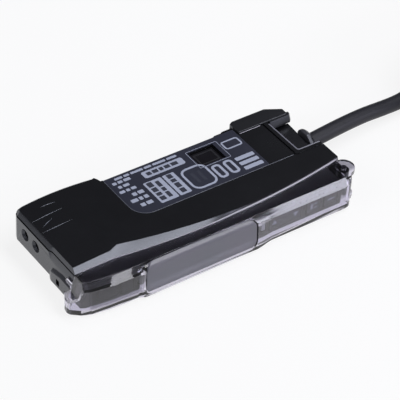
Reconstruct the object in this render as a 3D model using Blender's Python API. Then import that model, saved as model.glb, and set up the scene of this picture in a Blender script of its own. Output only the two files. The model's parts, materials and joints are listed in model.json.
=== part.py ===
# Fibre optic sensor amplifier, DIN rail type, lying on its plain side.
# X runs along the body (fibre end at -X, cable end at +X), -Y is the display side,
# +Y is the rail side and Z is the 10 mm thickness. Sizes are in millimetres and
# are turned into metres where each mesh is made.

import math

import bmesh
import bpy
from mathutils import Vector

for old in list(bpy.data.objects):
    bpy.data.objects.remove(old)

# Driving dimensions of the body
MM = 0.001
THICK = 10.0
SPLIT = 8.7
GAP = 0.3
WALL = 1.2
END_LEFT = -39.5
END_LEAN = 0.9
LEAN_FROM = 8.5
SCOOP_Y = 0.4
SCOOP_LOW = 4.8
TAB_FACE = -40.2
END_RIGHT = 40.35
RAIL_SEAT = 14.8
RAIL_LEFT = -15.75
RAIL_SLOT = 35.5
RAIL_RIGHT = RAIL_LEFT + RAIL_SLOT
RAIL_STEP = 1.0
HOOK_OVERHANG = 1.25
HUMP_TOP = 17.9
HUMP_SAG = 0.7
HUMP_LEFT = -37.4
HUMP_RIGHT = -17.0
HUMP_ROLL = 1.3
EDGE_ROLL = 0.25

# Display-side edge of the body: a flat run, a notch, then a long bow
EDGE_FLAT = -10.3
EDGE_BOW = 2.85
BOW_START = -28.0
RIDGE_LEFT = -8.9
RIDGE_FLAT_END = -8.3
NOTCH_X = -25.3
NOTCH_Y = -7.25
RIDGE_BOW = 3.55
EDGE_RIGHT = -8.9
CHAMFER_DROP = 1.0
BOW_STEPS = 14

# Label recess and side window
RECESS_LEFT = -15.3
RECESS_FRONT = -1.9
RECESS_CORNER = 4.6
RECESS_DEEP = 0.65
BARE_DEEP = 0.35
LABEL_RIGHT = 24.0
LABEL_THICK = 0.2
PORT_X = 8.8
PORT_Y = 6.6
PORT_LONG = 7.4
PORT_WIDE = 5.95
PORT_LIP = 0.7

# Cable corner
CORNER_X = 31.9
CORNER_Y = -2.3
RIM_WIDE = 1.6
RIM_EDGE = 0.6
RIM_TOP = 9.9
POCKET_BACK_FLOOR = 6.9
POCKET_FRONT_FLOOR = 5.6
POCKET_UNDER = 5.0
CABLE_R = 2.1
CABLE_Y = 5.2
CABLE_Z = 4.9
BUSH_LONG = 1.8
BUSH_HALF_WIDE = 3.5
BUSH_HALF_TALL = 2.8

# Rail slider
SLIDER_LEFT = 24.65
SLIDER_RIGHT = 40.2
EAVE_Y = 11.5
EAVE_LOW = 7.8
EAVE_LEAN = 0.75
EAVE_RIGHT = 40.7
SLIDER_BACK = 12.8
SLIDER_TOP_Y = 17.5
SLIDER_LOW = 0.3
SLIDER_HIGH = 9.9
GUIDE_LEFT = 31.0
GUIDE_RIGHT = 38.0
GUIDE_NECK = 0.9
GUIDE_HEAD = 1.7
GUIDE_Y0 = 13.3
GUIDE_Y1 = 15.0

# Protective cover and its hinge
COVER_FRONT = -16.9
COVER_WALL = 1.0
COVER_LOW = 0.5
COVER_HIGH = 9.5
COVER_BEVEL = 1.4
COVER_BEVEL_DROP = 1.9
COVER_TIP = -42.45
COVER_RIGHT = 39.8
COVER_CORNER = 2.8
COVER_SEAM = 0.35
COVER_TOP_LEFT = -39.2
END_WALL = 0.8
TIP_SHOULDER_X = -40.45
TIP_SHOULDER_Z = 5.1
TIP_NOSE_Z = 3.7
HINGE_X = 39.55
HINGE_Y = -11.8
EAR_R = 2.85
EAR_SKIN = 0.4
PIN_R = 0.8
PIN_CLEAR = 0.06
BOSS_R = 1.5
BOSS_HIGH = 7.85
EAR_THICK = 1.3
LENS_LEFT = -23.2
LENS_RIGHT = 8.9
LENS_PROUD = 0.75
LENS_LOW = 1.4
LENS_TOP = 9.4
LENS_CORNERS = (1.9, 1.9, 2.4, 1.2)
FRAME_PROUD = 0.95
FRAME_SWELL = ((-26.4, 0.0), (-25.3, 0.2), (-24.3, 0.62), (-23.5, 1.0), (9.3, 1.0), (11.0, 0.72), (12.8, 0.3),
               (14.6, 0.0))

# Operation panel and what sits in it
PANEL_FRONT = -15.1
PANEL_LOW = 1.8
PANEL_HIGH = 8.2
PANEL_WALL = 1.2
PANEL_LEFT = -39.3
PANEL_REAR_LEFT = -37.0
PANEL_RIGHT = 36.3
PANEL_BACK = -7.8
KEY_PROUD = 0.35
KEY_GAP = 0.3
MID_Z = 5.0
SWITCH_FRONT = -13.1
DISPLAY_BOARD_FRONT = -11.5
BOARD_THICK = 1.0
BOARD_Z = 3.1
BOSSES = ((-18.5, -4.0), (-18.5, 8.5), (33.5, -4.0), (28.0, 8.5))

# Fibre unit
FIBRE_Y = (11.35, 6.45)
FIBRE_Z = 5.6
FIBRE_HOLE_R = 1.2
FUNNEL_R = 1.7
HOLDER_LEFT = -37.9
HOLDER_RIGHT = -27.0
CLAMP_X = -33.6
CLAMP_WIDE = 1.6
CLAMP_LOW = 6.95


def material(name, colour, rough, metal=0.0, alpha=1.0):
    mat = bpy.data.materials.get(name) or bpy.data.materials.new(name)
    mat.use_nodes = True
    shader = mat.node_tree.nodes["Principled BSDF"]
    shader.inputs["Base Color"].default_value = (*colour, 1.0)
    shader.inputs["Roughness"].default_value = rough
    shader.inputs["Metallic"].default_value = metal
    shader.inputs["Alpha"].default_value = alpha
    return mat


BLACK = material("black_plastic", (0.018, 0.018, 0.022), 0.38)
SMOKE = material("smoke_plastic", (0.12, 0.12, 0.15), 0.12, alpha=0.55)
LENS = material("lens_plastic", (0.16, 0.16, 0.2), 0.06, alpha=0.7)
LABEL = material("label_film", (0.05, 0.055, 0.09), 0.45)
KEY = material("key_plastic", (0.22, 0.22, 0.24), 0.5)
STEEL = material("spring_steel", (0.6, 0.6, 0.62), 0.3, 1.0)
BOARD = material("circuit_board", (0.02, 0.16, 0.07), 0.5)
CHIP = material("chip_black", (0.02, 0.02, 0.02), 0.55)
FILTER = material("filter_red", (0.1, 0.01, 0.015), 0.2)
CLEAR = material("clear_resin", (0.7, 0.72, 0.75), 0.1)
SWITCH = material("switch_body", (0.3, 0.3, 0.28), 0.5)
SHEATH = material("cable_sheath", (0.03, 0.03, 0.034), 0.5)
DIGITS = material("display_face", (0.05, 0.05, 0.055), 0.3)


def place(obj, mat, origin=(0, 0, 0)):
    """Moves the mesh so that the object's own origin lies at a point given in millimetres."""
    shift = Vector(origin) * MM
    for vertex in obj.data.vertices:
        vertex.co -= shift
    obj.location = shift
    obj.data.materials.append(mat)
    bpy.context.scene.collection.objects.link(obj)
    return obj


def solid(name, build, mat, origin=(0, 0, 0)):
    """A closed mesh object whose bmesh is filled in by build, in millimetres."""
    mesh = bpy.data.meshes.new(name)
    bm = bmesh.new()
    build(bm)
    bmesh.ops.scale(bm, vec=(MM, MM, MM), verts=bm.verts)
    bmesh.ops.recalc_face_normals(bm, faces=bm.faces)
    bmesh.ops.triangulate(bm, faces=[f for f in bm.faces if len(f.verts) > 4])
    bm.to_mesh(mesh)
    bm.free()
    return place(bpy.data.objects.new(name, mesh), mat, origin)


def loft(name, rings, mat, origin=(0, 0, 0)):
    """A solid through rings of the same number of points, closed at both ends."""

    def build(bm):
        rows = [[bm.verts.new(p) for p in ring] for ring in rings]
        count = len(rows[0])
        bm.faces.new(rows[0])
        bm.faces.new(rows[-1])
        for low, high in zip(rows, rows[1:]):
            for i in range(count):
                j = (i + 1) % count
                bm.faces.new((low[i], low[j], high[j], high[i]))

    return solid(name, build, mat, origin)


def prism(name, outline, z0, z1, mat, origin=(0, 0, 0)):
    rings = [[(x, y, z) for x, y in outline] for z in (z0, z1)]
    return loft(name, rings, mat, origin)


def bar(name, profile, x0, x1, mat, origin=(0, 0, 0)):
    """A solid along X with a profile of (y, z) points."""
    rings = [[(x, y, z) for y, z in profile] for x in (x0, x1)]
    return loft(name, rings, mat, origin)


def box(name, low, high, mat, origin=(0, 0, 0)):
    outline = [(low[0], low[1]), (high[0], low[1]), (high[0], high[1]), (low[0], high[1])]
    return prism(name, outline, low[2], high[2], mat, origin)


def rod(name, centre, radius, length, axis, mat, sides=24, origin=None, end_radius=None):
    """A round rod or cone from a centre, along X, Y or Z."""
    far = radius if end_radius is None else end_radius
    turns = [2 * math.pi * i / sides for i in range(sides)]
    rings = []
    for r, along in ((radius, 0.0), (far, length)):
        ring = []
        for a in turns:
            u = r * math.cos(a)
            v = r * math.sin(a)
            local = {"X": (along, u, v), "Y": (u, along, v), "Z": (u, v, along)}[axis]
            ring.append(tuple(c + d for c, d in zip(centre, local)))
        rings.append(ring)
    made = loft(name, rings, mat, origin or (0, 0, 0))
    made.data.shade_smooth()
    made.data.set_sharp_from_angle(angle=math.radians(35))
    return made


def bevel(obj, width, segments=2, angle=40):
    modifier = obj.modifiers.new("edge_round", "BEVEL")
    modifier.width = width * MM
    modifier.segments = segments
    modifier.limit_method = "ANGLE"
    modifier.angle_limit = math.radians(angle)
    return obj


def combine(obj, other, operation):
    other.hide_render = True
    other.display_type = "WIRE"
    modifier = obj.modifiers.new(other.name, "BOOLEAN")
    modifier.operation = operation
    modifier.object = other
    modifier.solver = "EXACT"
    return obj


def cut(obj, *cutters):
    for cutter in cutters:
        combine(obj, cutter, "DIFFERENCE")
    return obj


def join(obj, *parts):
    for part in parts:
        combine(obj, part, "UNION")
    return obj


def mix(a, b, t):
    return a + (b - a) * t


def clamp(value, low=0.0, high=1.0):
    return max(low, min(high, value))


def bow(x, x0, y0, x1, y1, depth):
    """A shallow parabola between two points, bowed to -Y by depth."""
    t = (x - x0) / (x1 - x0)
    return mix(y0, y1, t) - 4 * depth * t * (1 - t)


def arc(cx, cy, r, start, end, steps):
    angles = [math.radians(mix(start, end, i / steps)) for i in range(steps + 1)]
    return [(cx + r * math.cos(a), cy + r * math.sin(a)) for a in angles]


def offset(outline, distances):
    """The outline moved inward at each point, for points that run anticlockwise."""
    moved = []
    count = len(outline)
    for i, (x, y) in enumerate(outline):
        before = Vector(outline[i]) - Vector(outline[i - 1])
        after = Vector(outline[(i + 1) % count]) - Vector(outline[i])
        n0 = Vector((-before.y, before.x)).normalized()
        n1 = Vector((-after.y, after.x)).normalized()
        middle = (n0 + n1).normalized()
        reach = distances[i] / max(middle.dot(n1), 0.35)
        moved.append((x + middle.x * reach, y + middle.y * reach))
    return moved


# Plan of the body
def edge_y(x):
    if x <= BOW_START:
        return EDGE_FLAT
    return bow(x, BOW_START, EDGE_FLAT, END_RIGHT, EDGE_RIGHT + 0.4, EDGE_BOW)


def ridge_y(x):
    if x <= BOW_START:
        return mix(RIDGE_LEFT, RIDGE_FLAT_END, (x - END_LEFT) / (BOW_START - END_LEFT))
    if x <= NOTCH_X:
        return mix(RIDGE_FLAT_END, NOTCH_Y, (x - BOW_START) / (NOTCH_X - BOW_START))
    return max(edge_y(x) + 0.25, bow(x, NOTCH_X, NOTCH_Y, END_RIGHT, EDGE_RIGHT, RIDGE_BOW))


def end_x(z):
    return END_LEFT + END_LEAN * clamp((max(z, THICK - z) - LEAN_FROM) / (THICK - LEAN_FROM))


def chamfer_share(z):
    depth = min(z, THICK - z)
    return 1 - clamp(depth / CHAMFER_DROP)


def roll_inset(radius, z):
    depth = min(z, THICK - z)
    if depth >= radius:
        return 0.0
    return radius - math.sqrt(radius**2 - (radius - depth) ** 2)


def plan(z, right_side):
    """The body's outline at a height, anticlockwise, with the given points on its right side."""
    share = chamfer_share(z)
    left = end_x(z)
    points = []
    rolls = []
    stations = [left, mix(left, BOW_START, 0.5), BOW_START, NOTCH_X]
    stations += [mix(NOTCH_X, END_RIGHT, i / BOW_STEPS) for i in range(1, BOW_STEPS + 1)]
    for x in stations:
        points.append((x, mix(edge_y(x), ridge_y(x), share)))
        rolls.append(0.0)
    for point in right_side:
        points.append(point)
        rolls.append(0.0)
    back = [
        (SLIDER_LEFT - GAP, RAIL_SEAT + RAIL_STEP),
        (RAIL_RIGHT + 1.75, RAIL_SEAT + RAIL_STEP),
        (RAIL_RIGHT, RAIL_SEAT),
        (RAIL_LEFT, RAIL_SEAT),
        (RAIL_LEFT - 0.35, RAIL_SEAT + 1.1),
        (RAIL_LEFT - 0.8, RAIL_SEAT + 1.9),
    ]
    for point in back:
        points.append(point)
        rolls.append(EDGE_ROLL)
    middle = (HUMP_LEFT + HUMP_RIGHT) / 2
    half = (HUMP_RIGHT - HUMP_LEFT) / 2
    for i in range(9):
        x = mix(HUMP_RIGHT, HUMP_LEFT, i / 8)
        points.append((x, HUMP_TOP - HUMP_SAG * ((x - middle) / half) ** 2))
        rolls.append(HUMP_ROLL)
    points.append((mix(HUMP_LEFT, left, 0.75), HUMP_TOP - HUMP_SAG - 0.7))
    rolls.append(HUMP_ROLL * 0.6)
    points.append((left, HUMP_TOP - HUMP_SAG - 2.0))
    rolls.append(EDGE_ROLL)
    return offset(points, [roll_inset(r, z) for r in rolls])


def shell(name, heights, right_side, mat):
    rings = [[(x, y, z) for x, y in plan(z, right_side)] for z in heights]
    made = loft(name, rings, mat)
    made.data.shade_smooth()
    made.data.set_sharp_from_angle(angle=math.radians(20))
    return made


def scoop(name):
    """Cutter for the sloping grip beside the cover's tip, which leaves a curved edge at its far side."""
    slope = [(end_x(THICK) + 0.15, THICK + 0.5), (end_x(THICK) + 0.08, THICK), (TAB_FACE, SCOOP_LOW),
             (TAB_FACE - 3, SCOOP_LOW), (TAB_FACE - 3, THICK + 0.5)]
    rings = []
    for y, shift in ((-13.0, 0.0), (SCOOP_Y - 1.0, 0.0), (SCOOP_Y - 0.4, -0.1), (SCOOP_Y, -0.35), (SCOOP_Y + 0.2, -0.8)):
        rings.append([(x + shift, y, z) for x, z in slope])
    return loft(name, rings, BLACK)


def grip_tab():
    """Ledge below the scoop that a finger rests on when the cover is opened, with a small slot."""
    rings = []
    for y, out, top in ((SCOOP_Y - 0.7, 0.5, 3.9), (SCOOP_Y - 1.5, 0.12, 4.3), (SCOOP_Y - 2.2, 0.0, 4.6),
                        (SCOOP_Y - 6.0, 0.0, 5.5), (SCOOP_Y - 10.3, 0.0, 5.5)):
        face = TAB_FACE + out
        profile = [(END_LEFT + 0.7, 0.9), (face + 0.35, 0.7), (face, 1.3), (face, top - 0.4),
                   (face + 0.25, top), (END_LEFT + 0.7, top + 1.2)]
        rings.append([(x, y, z) for x, z in profile])
    tab = loft("grip_tab", rings, BLACK)
    under_cover = bar("tab_trim", [(-7.6, 0.0), (-7.6, 0.7), (-9.9, 4.9), (-14.0, 4.9), (-14.0, 0.0)],
                      END_LEFT - 3, END_LEFT + 0.9, BLACK)
    slot = box("tab_slot", (TAB_FACE - 1, -5.4, 2.0), (TAB_FACE + 0.9, -4.0, 3.7), BLACK)
    return cut(tab, under_cover, slot)


def corner_pocket(x0, y0):
    """Cutter for the open corner beside the cable, with a sloping floor and an eased rim."""
    x1 = END_RIGHT + 2
    y1 = SLIDER_BACK + 2
    rings = []
    for z, ease, sloped in ((POCKET_BACK_FLOOR, 0.0, True), (RIM_TOP - RIM_EDGE, 0.0, False),
                            (RIM_TOP - 0.25 * RIM_EDGE, 0.35 * RIM_EDGE, False), (RIM_TOP, RIM_EDGE, False),
                            (THICK + 2, RIM_EDGE, False)):
        front = POCKET_FRONT_FLOOR if sloped else z
        rings.append([(x0 - ease, y0 - ease, front), (x1, y0 - ease, front), (x1, y1, z), (x0 - ease, y1, z)])
    return loft("corner_pocket", rings, BLACK)


def main_case():
    """Tray of the body: floor, walls, rail seat, fixed rail hook and the cable corner."""
    top = SPLIT - GAP / 2
    right = [(END_RIGHT, SLIDER_BACK - GAP), (SLIDER_LEFT - GAP, SLIDER_BACK - GAP)]
    low = (0, 0.05, 0.2, 0.5, CHAMFER_DROP, HUMP_ROLL, THICK - LEAN_FROM, LEAN_FROM, top)
    case = shell("main_case", low, right, BLACK)

    inner = offset(plan(MID_Z, right), [WALL] * len(plan(MID_Z, right)))
    cavity = prism("case_cavity", inner, WALL, SPLIT + 1, BLACK)
    rim_x = CORNER_X + GAP
    rim_y = CORNER_Y + GAP
    corner = box("corner_block", (rim_x, rim_y, POCKET_UNDER), (END_RIGHT, SLIDER_BACK - GAP, RIM_TOP), BLACK)
    pocket = corner_pocket(rim_x + RIM_WIDE, rim_y + RIM_WIDE)
    panel_way = box("panel_way", (PANEL_REAR_LEFT - GAP, -20, PANEL_LOW - GAP),
                    (PANEL_RIGHT + GAP, PANEL_BACK + 0.1, SPLIT + 1), BLACK)
    hook = prism("fixed_hook", [
        (RAIL_LEFT - 2.0, RAIL_SEAT + 1.3), (RAIL_LEFT + HOOK_OVERHANG, RAIL_SEAT + 1.3),
        (RAIL_LEFT + HOOK_OVERHANG, RAIL_SEAT + 1.7), (RAIL_LEFT - 0.1, RAIL_SEAT + 2.5),
        (RAIL_LEFT - 2.0, RAIL_SEAT + 2.5)], 2.0, 8.0, BLACK)
    guide = bar("slider_guide", [
        (SLIDER_BACK - 1.0, MID_Z - GUIDE_NECK), (GUIDE_Y0, MID_Z - GUIDE_NECK),
        (GUIDE_Y0, MID_Z - GUIDE_HEAD), (GUIDE_Y1, MID_Z - GUIDE_HEAD),
        (GUIDE_Y1, MID_Z + GUIDE_HEAD), (GUIDE_Y0, MID_Z + GUIDE_HEAD),
        (GUIDE_Y0, MID_Z + GUIDE_NECK), (SLIDER_BACK - 1.0, MID_Z + GUIDE_NECK)],
        GUIDE_LEFT, GUIDE_RIGHT, BLACK)
    bush_hole = box("bush_hole", (END_RIGHT - WALL - 1, CABLE_Y - 2.6, CABLE_Z - 2.1),
                    (END_RIGHT + 1, CABLE_Y + 2.6, POCKET_UNDER - 0.2), BLACK)
    holes = []
    for i, y in enumerate(FIBRE_Y):
        holes.append(rod(f"fibre_way_{i}", (END_LEFT - 1, y, FIBRE_Z), FIBRE_HOLE_R, 4, "X", BLACK))
        holes.append(rod(f"funnel_{i}", (END_LEFT - 0.3, y, FIBRE_Z), FUNNEL_R + 0.1, 1.0, "X",
                         BLACK, end_radius=FIBRE_HOLE_R))
    under = port_hole("under_window_way", -1, WALL + 1)
    boss = rod("hinge_boss", (HINGE_X, HINGE_Y, PANEL_LOW), BOSS_R, BOSS_HIGH - PANEL_LOW, "Z", BLACK)
    arm = box("hinge_arm", (PANEL_RIGHT + 1.0, HINGE_Y, PANEL_LOW), (END_RIGHT - 0.2, -8.0, BOSS_HIGH), BLACK)
    pin_hole = rod("pin_hole", (HINGE_X, HINGE_Y, 0), PIN_R + PIN_CLEAR, THICK, "Z", BLACK)
    cut(case, cavity)
    for i, (x, y) in enumerate(BOSSES):
        join(case, rod(f"board_boss_{i}", (x, y, WALL - 0.3), 1.5, BOARD_Z - GAP - WALL + 0.3, "Z", BLACK, 16))
    cut(case, scoop("case_scoop"))
    join(case, corner, hook, guide, arm, boss, grip_tab())
    return cut(case, pocket, panel_way, bush_hole, *holes, under, pin_hole)


def port_hole(name, z0, z1):
    outline = [(PORT_X, PORT_Y), (PORT_X + PORT_LONG, PORT_Y),
               (PORT_X + PORT_LONG, PORT_Y + PORT_WIDE), (PORT_X, PORT_Y + PORT_WIDE)]
    return prism(name, outline, z0, z1, BLACK)


def recess_outline(right):
    """Plan of the label recess, open to the rail seat, with one round corner."""
    centre_x = RECESS_LEFT + RECESS_CORNER
    centre_y = RECESS_FRONT + RECESS_CORNER
    corner = arc(centre_x, centre_y, RECESS_CORNER, 180, 270, 6)
    return corner + [(right, RECESS_FRONT), (right, RAIL_SEAT + 3), (RECESS_LEFT, RAIL_SEAT + 3)]


def side_cover():
    """Label-side lid of the body, with a chamfer along its display edge."""
    low = SPLIT + GAP / 2
    right = [(END_RIGHT, CORNER_Y), (CORNER_X, CORNER_Y), (CORNER_X, SLIDER_BACK - GAP),
             (SLIDER_LEFT - GAP, SLIDER_BACK - GAP)]
    heights = (low, THICK - CHAMFER_DROP, THICK - 0.7, THICK - 0.4, THICK - 0.15, THICK - 0.05, THICK)
    lid = shell("side_cover", heights, right, BLACK)
    label_floor = prism("label_recess", recess_outline(LABEL_RIGHT + 0.1), THICK - RECESS_DEEP, THICK + 1, BLACK)
    bare = box("bare_recess", (LABEL_RIGHT - 0.5, RECESS_FRONT + 0.04, THICK - BARE_DEEP),
               (CORNER_X + 1, RAIL_SEAT + 3.5, THICK + 1.2), BLACK)
    return cut(lid, label_floor, bare, port_hole("side_window_way", low - 1, THICK + 1), scoop("lid_scoop"))


def side_label():
    """Thin film in the recess of the lid."""
    z0 = THICK - RECESS_DEEP + GAP - 0.05
    corner = arc(RECESS_LEFT + RECESS_CORNER, RECESS_FRONT + RECESS_CORNER, RECESS_CORNER - 0.2, 180, 270, 6)
    outline = corner + [(LABEL_RIGHT, RECESS_FRONT + 0.2), (LABEL_RIGHT, RAIL_SEAT - 0.15),
                        (RECESS_LEFT + 0.2, RAIL_SEAT - 0.15)]
    film = prism("side_label", outline, z0, z0 + LABEL_THICK, LABEL)
    way = box("label_window", (PORT_X - 0.15, PORT_Y - 0.15, 8), (PORT_X + PORT_LONG + 0.15,
              PORT_Y + PORT_WIDE + 0.15, 12), LABEL)
    return cut(film, way)


def link_window(name, flange_low, flange_high, boss_low, boss_high):
    """Light window to the next unit: a flange inside the wall and a boss in its hole."""
    x1 = PORT_X + PORT_LONG
    y1 = PORT_Y + PORT_WIDE
    flange = box(name, (PORT_X - PORT_LIP, PORT_Y - PORT_LIP, flange_low),
                 (x1 + PORT_LIP, y1 + PORT_LIP, flange_high), FILTER)
    boss = box(name + "_boss", (PORT_X + GAP, PORT_Y + GAP, boss_low),
               (x1 - GAP, y1 - GAP, boss_high), FILTER)
    return join(flange, boss)


def cable_bush():
    """Strain relief block clamped through the end wall."""
    x0 = END_RIGHT + GAP
    x1 = x0 + BUSH_LONG
    head = loft("cable_bush", [
        block_ring(x0, BUSH_HALF_WIDE, BUSH_HALF_TALL),
        block_ring(mix(x0, x1, 0.55), BUSH_HALF_WIDE, BUSH_HALF_TALL),
        block_ring(x1, BUSH_HALF_WIDE - 0.7, BUSH_HALF_TALL - 0.5)], BLACK)
    neck = box("bush_neck", (END_RIGHT - WALL - GAP - 1.0, CABLE_Y - 2.3, CABLE_Z - 1.8),
               (x0 + 0.5, CABLE_Y + 2.3, POCKET_UNDER - 0.5), BLACK)
    flange = box("bush_flange", (END_RIGHT - WALL - GAP - 1.2, CABLE_Y - 3.3, 1.5),
                 (END_RIGHT - WALL - GAP, CABLE_Y + 3.3, POCKET_UNDER - 0.3), BLACK)
    return join(head, neck, flange)


def block_ring(x, half_wide, half_tall):
    """Rounded block section in the YZ plane, with a wide chamfer on its front upper edge."""
    y0 = CABLE_Y - half_wide + 0.7
    y1 = CABLE_Y + half_wide
    z0 = CABLE_Z - half_tall
    z1 = CABLE_Z + half_tall
    ring = [(y0, z0 + 0.8), (y0 + 0.8, z0), (y1 - 0.8, z0), (y1, z0 + 0.8)]
    ring += [(y1, z1 - 1.3), (y1 - 0.4, z1 - 0.45), (y1 - 1.3, z1)]
    ring += [(y0 + 2.5, z1), (y0 + 0.35, z1 - 1.7), (y0, z1 - 2.5)]
    return [(x, y, z) for y, z in ring]


def rail_slider():
    """Sprung slider that grips the rail: foot, T groove for its guide and hook tip."""
    groove_right = SLIDER_RIGHT + 1
    outline = [(SLIDER_LEFT, SLIDER_BACK), (SLIDER_RIGHT - 0.1, SLIDER_BACK), (SLIDER_RIGHT, 13.4),
               (SLIDER_RIGHT, 15.1), (SLIDER_RIGHT - 4.3, SLIDER_TOP_Y),
               (SLIDER_LEFT + 1.2, SLIDER_TOP_Y), (SLIDER_LEFT, SLIDER_TOP_Y - 0.6)]
    foot = prism("rail_slider", outline, SLIDER_LOW, SLIDER_HIGH, BLACK)
    bevel(foot, 0.25)
    tip = prism("hook_tip", [
        (RAIL_RIGHT - HOOK_OVERHANG + 0.1, RAIL_SEAT + 1.3), (SLIDER_LEFT + 1, RAIL_SEAT + 1.3),
        (SLIDER_LEFT + 1, SLIDER_TOP_Y - 0.2), (RAIL_RIGHT + 0.6, SLIDER_TOP_Y - 0.2),
        (RAIL_RIGHT - HOOK_OVERHANG + 0.1, RAIL_SEAT + 1.7)], 2.5, 7.5, BLACK)
    eave_left = CORNER_X + GAP + RIM_WIDE + 0.4
    eave_plan = [(eave_left, EAVE_Y), (EAVE_RIGHT - 0.5, EAVE_Y), (EAVE_RIGHT, EAVE_Y + 0.5),
                 (EAVE_RIGHT, SLIDER_BACK - 0.1), (SLIDER_RIGHT - 0.4, SLIDER_BACK + 0.7),
                 (eave_left, SLIDER_BACK + 0.7)]
    rings = []
    for z, lean in ((EAVE_LOW, 0.0), (EAVE_LOW + 0.5, 0.0), (SLIDER_HIGH - 0.12, EAVE_LEAN)):
        rings.append([(x, y + lean * (y < SLIDER_BACK), z) for x, y in eave_plan])
    eave = loft("slider_eave", rings, BLACK)
    chamber = box("slider_chamber", (SLIDER_LEFT + 1.5, GUIDE_Y0 - GAP, MID_Z - GUIDE_HEAD - GAP),
                  (groove_right, GUIDE_Y1 + GAP, MID_Z + GUIDE_HEAD + GAP), BLACK)
    neck = box("slider_neck", (SLIDER_LEFT + 1.5, SLIDER_BACK - 2, MID_Z - GUIDE_NECK - GAP),
               (groove_right, GUIDE_Y0, MID_Z + GUIDE_NECK + GAP), BLACK)
    return cut(join(foot, tip, eave), chamber, neck)


def slider_spring():
    """Compression spring between the slider's left wall and the guide."""
    x0 = SLIDER_LEFT + 1.5 + GAP
    x1 = GUIDE_LEFT - GAP
    turns = 5
    steps = turns * 10
    radius = 0.95
    wire = 0.16
    curve = bpy.data.curves.new("slider_spring", "CURVE")
    curve.dimensions = "3D"
    curve.bevel_depth = wire * MM
    curve.bevel_resolution = 1
    curve.use_fill_caps = True
    line = curve.splines.new("POLY")
    line.points.add(steps)
    middle_y = (GUIDE_Y0 + GUIDE_Y1) / 2
    for i, point in enumerate(line.points):
        a = 2 * math.pi * turns * i / steps
        x = mix(x0 + wire, x1 - wire, i / steps)
        y = middle_y + radius * math.cos(a)
        z = MID_Z + radius * math.sin(a)
        point.co = (x * MM, y * MM, z * MM, 1)
    made = bpy.data.objects.new("slider_spring", curve)
    curve.materials.append(STEEL)
    bpy.context.scene.collection.objects.link(made)
    return made


# Protective cover
def cover_plan():
    """Outline of the cover, anticlockwise from its tip, with how far each point leans in at the top."""
    tip = [(COVER_TIP + 0.2, -11.2), (COVER_TIP, -12.5), (COVER_TIP + 0.3, -13.4)]
    front = [(COVER_TIP + 2.35, -15.1), (COVER_TIP + 4.65, -16.1), (-33.2, -16.8), (-29.0, -17.05),
             (-24.75, -17.05), (-18.0, COVER_FRONT), (COVER_RIGHT - COVER_CORNER, COVER_FRONT)]
    corner = arc(COVER_RIGHT - COVER_CORNER, COVER_FRONT + COVER_CORNER, COVER_CORNER, -65, -15, 3)
    ear = arc(HINGE_X, HINGE_Y, EAR_R, -62, 100, 10)
    inner = []
    for i in range(9):
        x = mix(HINGE_X - 3.6, BOW_START, i / 8)
        inner.append((x, edge_y(x) - COVER_SEAM))
    inner += [(-34.0, EDGE_FLAT - COVER_SEAM), (END_LEFT - COVER_SEAM, EDGE_FLAT - COVER_SEAM)]
    back = [(END_LEFT - COVER_SEAM, -7.9), (COVER_TIP + 1.5, -8.85)]
    lean = [0.0, 0.6, 0.9] + [COVER_BEVEL] * len(front) + [1.0, 0.6, 0.2, 0.0]
    lean += [0.0] * (len(ear) + len(inner) + len(back))
    return tip + front + corner + ear + inner + back, lean


def tip_wedge(name, inset):
    """Cutter for the cover's end: a steep slope to a shoulder, then a nose that sticks out low down."""
    slope = (TIP_SHOULDER_Z - TIP_NOSE_Z) / (TIP_SHOULDER_X - COVER_TIP)
    run = 4.0
    profile = [(COVER_TOP_LEFT + 0.6 + inset, COVER_HIGH + 2), (COVER_TOP_LEFT + inset, COVER_HIGH),
               (TIP_SHOULDER_X + inset, TIP_SHOULDER_Z - 0.5 * inset),
               (COVER_TIP - run, TIP_NOSE_Z - run * slope - inset),
               (COVER_TIP - run, COVER_HIGH + 2)]
    rings = [[(x, y, z) for x, z in profile] for y in (-20, -5)]
    return loft(name, rings, SMOKE)


def tab_room():
    """Cutter that keeps the cover's end clear of the case's grip tab."""
    profile = [(-6.0, COVER_LOW - 1), (-7.75, COVER_LOW - 1), (-7.95, 0.6), (-10.25, 4.8), (-10.25, 6.1), (-6.0, 6.1)]
    return bar("tab_room", profile, COVER_TIP + 1.2, END_LEFT + 1, SMOKE)


def protective_cover():
    """Smoke cover: a channel with bevelled top edge, hinge ears, end ribs and an opening for its lens."""
    outline, lean = cover_plan()
    low = [(x, y, COVER_LOW) for x, y in outline]
    shoulder = [(x, y, COVER_HIGH - COVER_BEVEL_DROP) for x, y in outline]
    high = [(x, y + d, COVER_HIGH) for (x, y), d in zip(outline, lean)]
    cover = loft("protective_cover", [low, shoulder, high], SMOKE, (HINGE_X, HINGE_Y, 0))
    way = lens_shape("lens_way", GAP, COVER_FRONT - 2, COVER_FRONT + COVER_WALL + 0.35)
    ear_gap = box("ear_gap", (PANEL_RIGHT + 0.6, HINGE_Y - EAR_R - 0.4, COVER_LOW + COVER_WALL),
                  (HINGE_X + 5, HINGE_Y + 5, COVER_HIGH - EAR_THICK), SMOKE)
    pin_way = rod("ear_hole", (HINGE_X, HINGE_Y, COVER_LOW + EAR_SKIN), PIN_R + PIN_CLEAR,
                  COVER_HIGH - COVER_LOW - 2 * EAR_SKIN, "Z", SMOKE)
    cut(cover, tip_wedge("tip_wedge", 0.0), cover_hollow(), tab_room())
    join(cover, lens_frame())
    return cut(cover, way, ear_gap, pin_way)


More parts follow.
